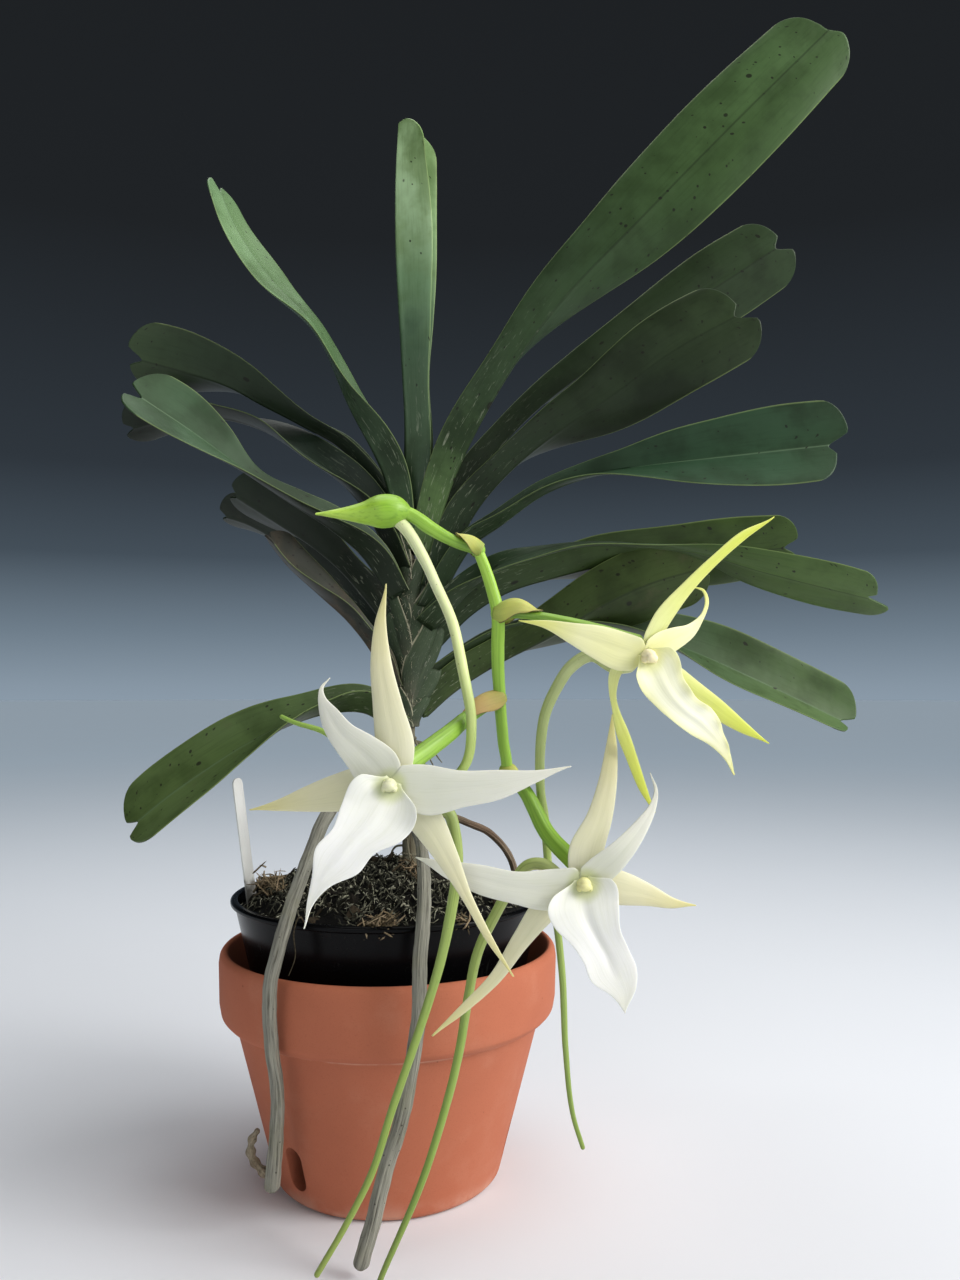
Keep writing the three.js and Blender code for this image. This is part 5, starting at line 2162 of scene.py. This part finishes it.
@dataclass(frozen=True)
class Flower:
    """A star flower: three sepals, two petals, a shell-shaped lip, a stubby column and a long spur.

    Attributes:
        name: The start of its nodes' names.
        centre: The middle of its back, in millimetres.
        facing: The way that it faces.
        sepals: Its sepals, at the back.
        petals: Its petals, in the middle.
        lip: Its lip, in front.
        spur: The route of its spur.
        spur_radii: The spur's radii, from the flower to its tip.
        tones: Its finishes.
        thickness: How thick its blades are.
        column_radii: The column's radii, from its seat to its top.
        cap: The radii of the cap on the column.
        arm: The radii of each arm beside it.
    """

    name: str
    centre: Point
    facing: Point
    sepals: tuple[Blade, ...]
    petals: tuple[Blade, ...]
    lip: Blade
    spur: tuple[Point, ...]
    spur_radii: tuple[float, ...]
    tones: FlowerTones
    thickness: float = 0.75
    column_radii: tuple[float, ...] = (4.2, 3.1, 2.8, 2.3)
    cap: Point = (2.6, 2.0, 1.6)
    arm: Point = (1.1, 1.6, 2.5)

    def _blade(self, skin: Skin, blade: Blade, whorl: Whorl, seed: float) -> None:
        """Adds one blade.

        Args:
            skin: The layer that it joins.
            blade: Its sizes.
            whorl: Its kind.
            seed: Shifts its waves.
        """
        form = whorl.value
        facing = unit(np.array(self.facing, float))
        root = np.array(self.centre, float) + facing * (form.depth + 0.1 * seed)
        end = np.array(blade.tip, float)
        outward = np.array(blade.via[0] if blade.via else end, float) - root
        outward = unit(outward - facing * np.dot(outward, facing))
        start = root + outward * form.foot
        if blade.via:
            route = Route.through([start, *blade.via, blade.tip])
        else:
            route = Route.bowed(start, (start + end) / 2 + facing * form.arch, end)

        def middle(along: Array, across: Array) -> Array:
            """Gives the places of the blade's middle surface.

            Args:
                along: Shares along it, 0 to 1.
                across: Shares across it, -1 to 1.

            Returns:
                The places, in millimetres.
            """
            share = 1 - (1 - along) ** 1.15
            heading = unit(route.at(share, route.headings))
            sideways = unit(np.cross(heading, facing))
            normal = np.cross(sideways, heading)
            reach = np.maximum(spread(blade.widths, share), 0.15) * (0.4 + 0.6 * smoothstep(share, 0, 0.09))
            phase = share * route.length / 6 + seed + 2 * np.sign(across)
            ripple = form.wave * np.sin(phase) + blade.crinkle * np.sin(3.7 * phase) * (across < 0)
            ripple = ripple * np.abs(across) ** 3 * np.sin(np.pi * share)
            groove = (form.channel + blade.fold) * np.exp(-((across / 0.2) ** 2))
            groove = groove * np.sin(np.pi * np.minimum(share * 1.3, 1))
            cup = form.curl + form.cup * smoothstep(share, 0.25, 0.05)
            lift = cup * reach * across**2 + ripple - groove
            stray = spread(blade.sway, share) + reach * across
            return route.at(share) + sideways * stray[:, None] + normal * lift[:, None]

        skin.blade(
            middle, form.rings, form.around, self.thickness, route.length, max(blade.widths), gather=1.2,
            keel=form.keel, heart=root + facing * 2, seed=seed,
        )

    def _layer(
        self, part: str, blades: Sequence[Blade], whorl: Whorl, finish: PetalFinish, slot: str
    ) -> None:
        """Builds one layer of blades.

        Args:
            part: The end of its node's name.
            blades: Its blades.
            whorl: Their kind.
            finish: Their finish.
            slot: The record's material slot.
        """
        skin = Skin()
        for order, blade in enumerate(blades):
            self._blade(skin, blade, whorl, float(order))
        skin.piece(f"{self.name}_{part}_blades", finish.build(), slot, [f"{self.name}_{part}"])

    def _column(self) -> None:
        """Builds the stubby column with its cap and two small arms."""
        skin = Skin()
        facing = unit(np.array(self.facing, float))
        seat = np.array(self.centre, float) + facing * Whorl.LIP.value.depth
        side = unit(np.cross(facing, (0, 0, 1)))
        up = np.cross(side, facing)
        top = seat + facing * 6.2 - up * 0.4
        line = Route.through([seat, seat + facing * 3.4 + up * 0.5, top])
        skin.rod(line, self.column_radii, 30, 28, wobble=0.04)
        turn = tuple(Vector(facing).to_track_quat("Z", "Y").to_euler())
        skin.ball(tuple(top - facing * 0.5 + up * 0.5), self.cap, turn)
        for way in (-1, 1):
            arm = seat + side * way * 2.3 + facing * 3.2 - up * 0.9
            skin.ball(tuple(arm), self.arm, turn)
        skin.piece(f"{self.name}_column_cap", self.tones.column.build(), "column", [f"{self.name}_column"])

    def _spur(self) -> None:
        """Builds the spur."""
        skin = Skin()
        line = Route.through(self.spur)
        skin.rod(line, self.spur_radii, 200, 18, wobble=0.02, flute=(4, 0.05), seed=len(self.spur))
        skin.piece(f"{self.name}_spur_tube", self.tones.spur.build(), "spur", [f"{self.name}_spur"])

    def build(self) -> None:
        """Builds the layers, the column and the spur."""
        sepal_slot, petal_slot = self.tones.slots
        self._layer("sepals", self.sepals, Whorl.SEPAL, self.tones.sepal, sepal_slot)
        self._layer("petals", self.petals, Whorl.PETAL, self.tones.petal, petal_slot)
        self._layer("lip", [self.lip], Whorl.LIP, self.tones.lip, petal_slot)
        self._column()
        self._spur()


WHITE_TONES = FlowerTones(
    PetalFinish("cream_sepal", ("#e3e0c6", "#e2deba", "#e0dab2", "#ddd5a0", "#d6cc82"), edge="#e9e6ca"),
    # The petals' colours are greyer than the lip's: painted shade for petals that lie in shade beside the lit
    # lip.
    PetalFinish("white_petal_painted_shade", ("#dadbc8", "#dcdccb", "#dfdecf", "#dddcc9"), edge="#e8e7da"),
    PetalFinish("white_lip", ("#eeeedc", "#f5f5ea", "#f8f7ef", "#f5f4e8", "#edecd8"), edge="#fbfaf3"),
    PetalFinish("column_cream", ("#d0d09a", "#e0deb4", "#eceacb", "#f0eed8"), "#d6d7a4"),
    StalkFinish(
        "flower_spur_green", ("#a9b574", "#9fb25f", "#8fa64d", "#879f44", "#8a9a45"), streak="#8a9c58",
    ),
)
THIRD_TONES = FlowerTones(
    WHITE_TONES.sepal, WHITE_TONES.petal, WHITE_TONES.lip,
    PetalFinish("column_yellow", ("#dcd98e", "#e9e39a", "#f1eba8", "#f3edb6"), "#e4df96"),
    StalkFinish(
        "third_spur_green", ("#b9c47e", "#a9ba66", "#8fa84c", "#7f9a3f", "#7d9040"), streak="#8a9c58",
    ),
)
YELLOW_TONES = FlowerTones(
    PetalFinish(
        "yellow_sepal_skin", ("#e2e5ac", "#d9dd88", "#cfd568", "#c8d050", "#c6cc4a"), "#dadf98",
        back="#c9d27a", edge="#e5e6a8",
    ),
    PetalFinish(
        "yellow_petal_skin", ("#eceab0", "#f1eeb0", "#f4f1b8", "#e9e88c", "#d6db64"), "#e9e8a6",
        back="#dfe3a4", edge="#f3f2c8",
    ),
    PetalFinish(
        "yellow_lip_skin", ("#f0f0c8", "#f3f2d2", "#f6f5dc", "#f1efc0", "#e6e48c"), "#dfe19a",
        edge="#eeec9c", edge_share=0.6,
    ),
    PetalFinish(
        "column_pink_cream", ("#efe2a8", "#f6e8b8", "#fbecc4", "#fbedcc"), "#f4e6b0",
        back="#f6f0d0", veins=0.04,
    ),
    StalkFinish(
        "second_spur_green", ("#c9cf98", "#aab872", "#9db05f", "#8fa552", "#80963f"), streak="#93a567",
    ),
    ("yellow_sepal", "yellow_petal"),
)

FLOWERS = (
    Flower(
        "flower_1", (15, -165, 231), (-0.1, -1, 0.02),
        (
            Blade((11, -152, 317), (7.5, 8.4, 6.5, 4.7, 2.6, 0.2), (0, 1.5, -1, -3.3, -3.1, 0)),
            Blade((-48, -150, 219), (7, 9.2, 7.9, 5.4, 2.4, 0.2), (0, 0.8, 0.7, 0.3, -0.2, 0)),
            Blade((66, -158, 150), (7, 7.4, 4.9, 2.3, 1.6, 0.3), (0, -3.8, -3.4, -1.4, 0.1, 0)),
        ),
        (
            Blade(
                (-12.4, -157, 276), (7.5, 10.2, 8.4, 6.2, 4.6, 1.6, 0.2),
                via=((4, -166, 243), (-6.4, -165, 252.5), (-12, -163, 260.5), (-15.5, -160, 267.5),
                     (-15.7, -158, 272)),
            ),
            Blade((90, -166, 239), (8, 10.6, 7.6, 6.1, 2.6, 0.2), (0, 3.2, 4.3, 4.2, 2.5, 0)),
        ),
        Blade(
            (-19, -180, 175), (9, 15.5, 14.5, 10, 10, 4.4, 1.4, 0.2), (0, -1.4, -1.7, 0.6, 2.3, 3.6, 2.9, 0),
        ),
        ((16, -166, 229), (28, -153, 222), (38, -150, 218), (41, -150, 208), (42, -150, 195), (40, -150, 179),
         (35, -150, 155), (30, -150, 138), (23, -150, 117), (14, -150, 91), (6, -150, 66), (-5, -150, 44),
         (-18, -150, 22)),
        (3, 2.6, 2, 1.7, 1.3), WHITE_TONES,
    ),
    Flower(
        "flower_2", (121, -160, 286), (0.35, -1, -0.25),
        (
            Blade((183, -142, 348), (4.5, 4.6, 3, 2.4, 2.1, 0.2), (0, -5, -6.7, -6.4, -4.6, 0)),
            Blade(
                (130.5, -132, 215.4), (3.6, 3, 1.5, 2.8, 2.6, 2, 0.3),
                via=((111, -158, 280), (109, -155, 270.8), (111.3, -150, 260), (118, -142, 243.4),
                     (124.6, -136, 227)),
            ),
            Blade((185, -122, 246), (5, 6.4, 5.7, 4.4, 2.6, 0.2), (0, 1.2, 1.3, 0.8, 0.8, 0)),
        ),
        (
            Blade((68, -167, 300), (6.5, 8.2, 7, 4.4, 1.8, 0.2), (0, -1, 0.2, 1, 1.6, 0)),
            Blade(
                (144.8, -150, 315.7), (5, 6.4, 5.2, 3.2, 1.2, 0.9, 0.2),
                via=((133, -158, 291.5), (143, -153, 296.5), (149.5, -150, 304.3), (151, -149, 310),
                     (149.4, -149, 314.3)),
            ),
        ),
        Blade(
            (162, -150, 234), (7.5, 10.8, 8.6, 7.4, 7.4, 4.2, 1.8, 0.3),
            (0, 0.6, 2.4, 1.8, -1, -2.1, -1.8, 0), crinkle=0.7,
        ),
        ((117.5, -160, 281.5), (110, -151, 281), (101, -146, 286), (92, -143, 281), (86, -141, 272),
         (81, -140, 261), (79, -138, 249), (79, -128, 236), (80, -118, 223), (82, -113, 211), (84, -112, 186),
         (88, -114, 158), (90, -116, 136), (91, -118, 107), (94, -118, 78), (99, -118, 61)),
        (3.2, 2.4, 2, 1.6, 1.1), YELLOW_TONES,
    ),
    Flower(
        "flower_3", (96, -150, 188), (0.05, -1, -0.05),
        (
            Blade((111, -138, 260), (6.5, 7.6, 5.7, 4.2, 2.7, 0.4), (0, -0.7, 2.4, 3.2, 2.2, 0)),
            Blade((31, -145, 121), (6.5, 6.2, 4.2, 2.8, 2, 0.4), (0, 3.5, 1.5, -1.9, -1.5, 0)),
            Blade((147, -140, 176), (6.5, 8.2, 7, 4.7, 2.4, 0.2), (0, -0.4, -0.6, -0.1, 1.1, 0)),
        ),
        (
            Blade((24, -152, 199), (7.5, 9, 7, 6.4, 3.8, 0.2), (0, -4.6, -5.8, -4.8, -2.9, 0)),
            Blade(
                (125.5, -150, 235), (6, 6.4, 5, 3.3, 1.3, 0.2),
                via=((111, -156, 201), (121, -154, 212.5), (126.2, -152, 220.7), (127.8, -151, 227.5)),
            ),
        ),
        Blade(
            (112, -165, 137), (8.5, 15.2, 14.2, 10.8, 9.8, 9.8, 5.2, 0.2),
            (0, 2.5, 3.4, 2.3, 0.6, -0.2, -1.9, 0), fold=1.5,
        ),
        ((94, -151, 186.5), (86, -144, 190), (80, -141, 194), (73, -138, 193), (67, -135, 185),
         (60, -133, 173), (51, -132, 154), (47, -131, 136), (42, -131, 107), (35, -131, 80), (25, -131, 50),
         (8, -131, 11), (6, -131, 5)),
        (3, 2.4, 2, 1.7, 1.3), THIRD_TONES,
    ),
)


# Studio


@dataclass(frozen=True)
class Lamp:
    """One soft lamp: where it stands, how large it is, how strong, and its colour."""

    name: str
    place: Point
    size: float
    power: float
    colour: Point = (1.0, 1.0, 1.0)


@dataclass
class Studio:
    """Pale floor, soft lamps and the camera of the photograph."""

    camera_place: Point = (0.0518, -0.601, 0.2727)
    camera_rise: float = 2.52
    lens: float = 29.14
    sensor: float = 36.0
    nearest: float = 0.01
    aim: Point = (0.05, -0.05, 0.28)
    floor_radius: float = 20.0
    floor_drop: float = 0.0004
    sun_from: Point = (1.25, -0.5, 1.0)
    sun_strength: float = 2.1
    sun_spread: float = 62.0
    lamps: tuple[Lamp, ...] = (
        Lamp("key_softbox", (1.25, -0.55, 0.9), 0.7, 13.0, (1.0, 0.98, 0.96)),
        Lamp("front_fill", (-0.7, -1.6, 0.9), 1.2, 6.0, (0.97, 0.98, 1.0)),
        Lamp("top_softbox", (0.0, 0.3, 1.8), 1.4, 13.0, (0.98, 0.99, 1.0)),
    )
    sky: tuple[tuple[float, str], ...] = (
        (0.0, "#91a1b0"), (0.04, "#8796a4"), (0.09, "#6e7d8a"), (0.16, "#444f59"), (0.24, "#2f363d"),
        (0.44, "#202326"), (1.0, "#1a1c1e"),
    )
    sky_lift: float = 0.04

    def _floor(self) -> None:
        """Lays the floor just below the pot."""
        shape = bmesh.new()
        bmesh.ops.create_circle(shape, cap_ends=True, segments=96, radius=self.floor_radius)
        bmesh.ops.translate(shape, vec=(0, 0, -self.floor_drop), verts=shape.verts)
        data = bpy.data.meshes.new("studio_floor")
        shape.to_mesh(data)
        shape.free()
        data.materials.append(FloorFinish().build())
        stand("studio_floor", data)

    def _lights(self) -> None:
        """Hangs a soft sun and the soft lamps, aimed at the plant."""
        sun = bpy.data.lights.new("soft_sun", "SUN")
        sun.energy = self.sun_strength
        sun.angle = math.radians(self.sun_spread)
        stand("soft_sun", sun).rotation_euler = Vector(self.sun_from).to_track_quat("Z", "Y").to_euler()
        for lamp in self.lamps:
            light = bpy.data.lights.new(lamp.name, "AREA")
            light.shape = "DISK"
            light.size = lamp.size
            light.energy = lamp.power
            light.color = lamp.colour
            thing = stand(lamp.name, light)
            thing.location = lamp.place
            ahead = Vector(self.aim) - Vector(lamp.place)
            thing.rotation_euler = ahead.to_track_quat("-Z", "Y").to_euler()

    def _surroundings(self) -> None:
        """Sets the soft surrounding light: pale near the floor and dark above, as in the photograph."""
        world = bpy.data.worlds.new("studio_surroundings")
        bpy.context.scene.world = world
        bench = Bench(world)
        _, _, height = bench.split(bench.node("ShaderNodeTexCoord").outputs["Generated"])
        colour = bench.node("ShaderNodeValToRGB", {"stops": self.sky}, {0: height + self.sky_lift}).outputs[0]
        sky = bench.node("ShaderNodeBackground", None, {"Color": colour})
        bench.node("ShaderNodeOutputWorld", None, {"Surface": sky.outputs[0]})

    def _camera(self) -> None:
        """Sets up the camera."""
        data = bpy.data.cameras.new("photo_camera")
        data.sensor_width = self.sensor
        data.lens = self.lens
        data.clip_start = self.nearest
        camera = stand("photo_camera", data)
        camera.location = self.camera_place
        camera.rotation_euler = (math.radians(90 + self.camera_rise), 0, 0)
        bpy.context.scene.camera = camera

    def build(self) -> None:
        """Builds the floor, the lights and the camera."""
        self._floor()
        self._lights()
        self._surroundings()
        self._camera()
        bpy.context.scene.view_settings.view_transform = "Standard"


def main() -> None:
    """Builds the studio and every piece in order."""
    logging.basicConfig(level=logging.INFO, format="%(name)s: %(message)s")
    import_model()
    Studio().build()
    OuterPot().build()
    InnerPot().build()
    Medium().build()
    PlantLabel().build()
    Stem().build()
    for order, leaf in enumerate(LEAVES):
        leaf.build(order)
    for root in ROOTS:
        root.build()
    Spike().build()
    for bract in BRACTS:
        bract.build()
    Bud().build()
    for flower in FLOWERS:
        flower.build()


if __name__ == "__main__":
    main()
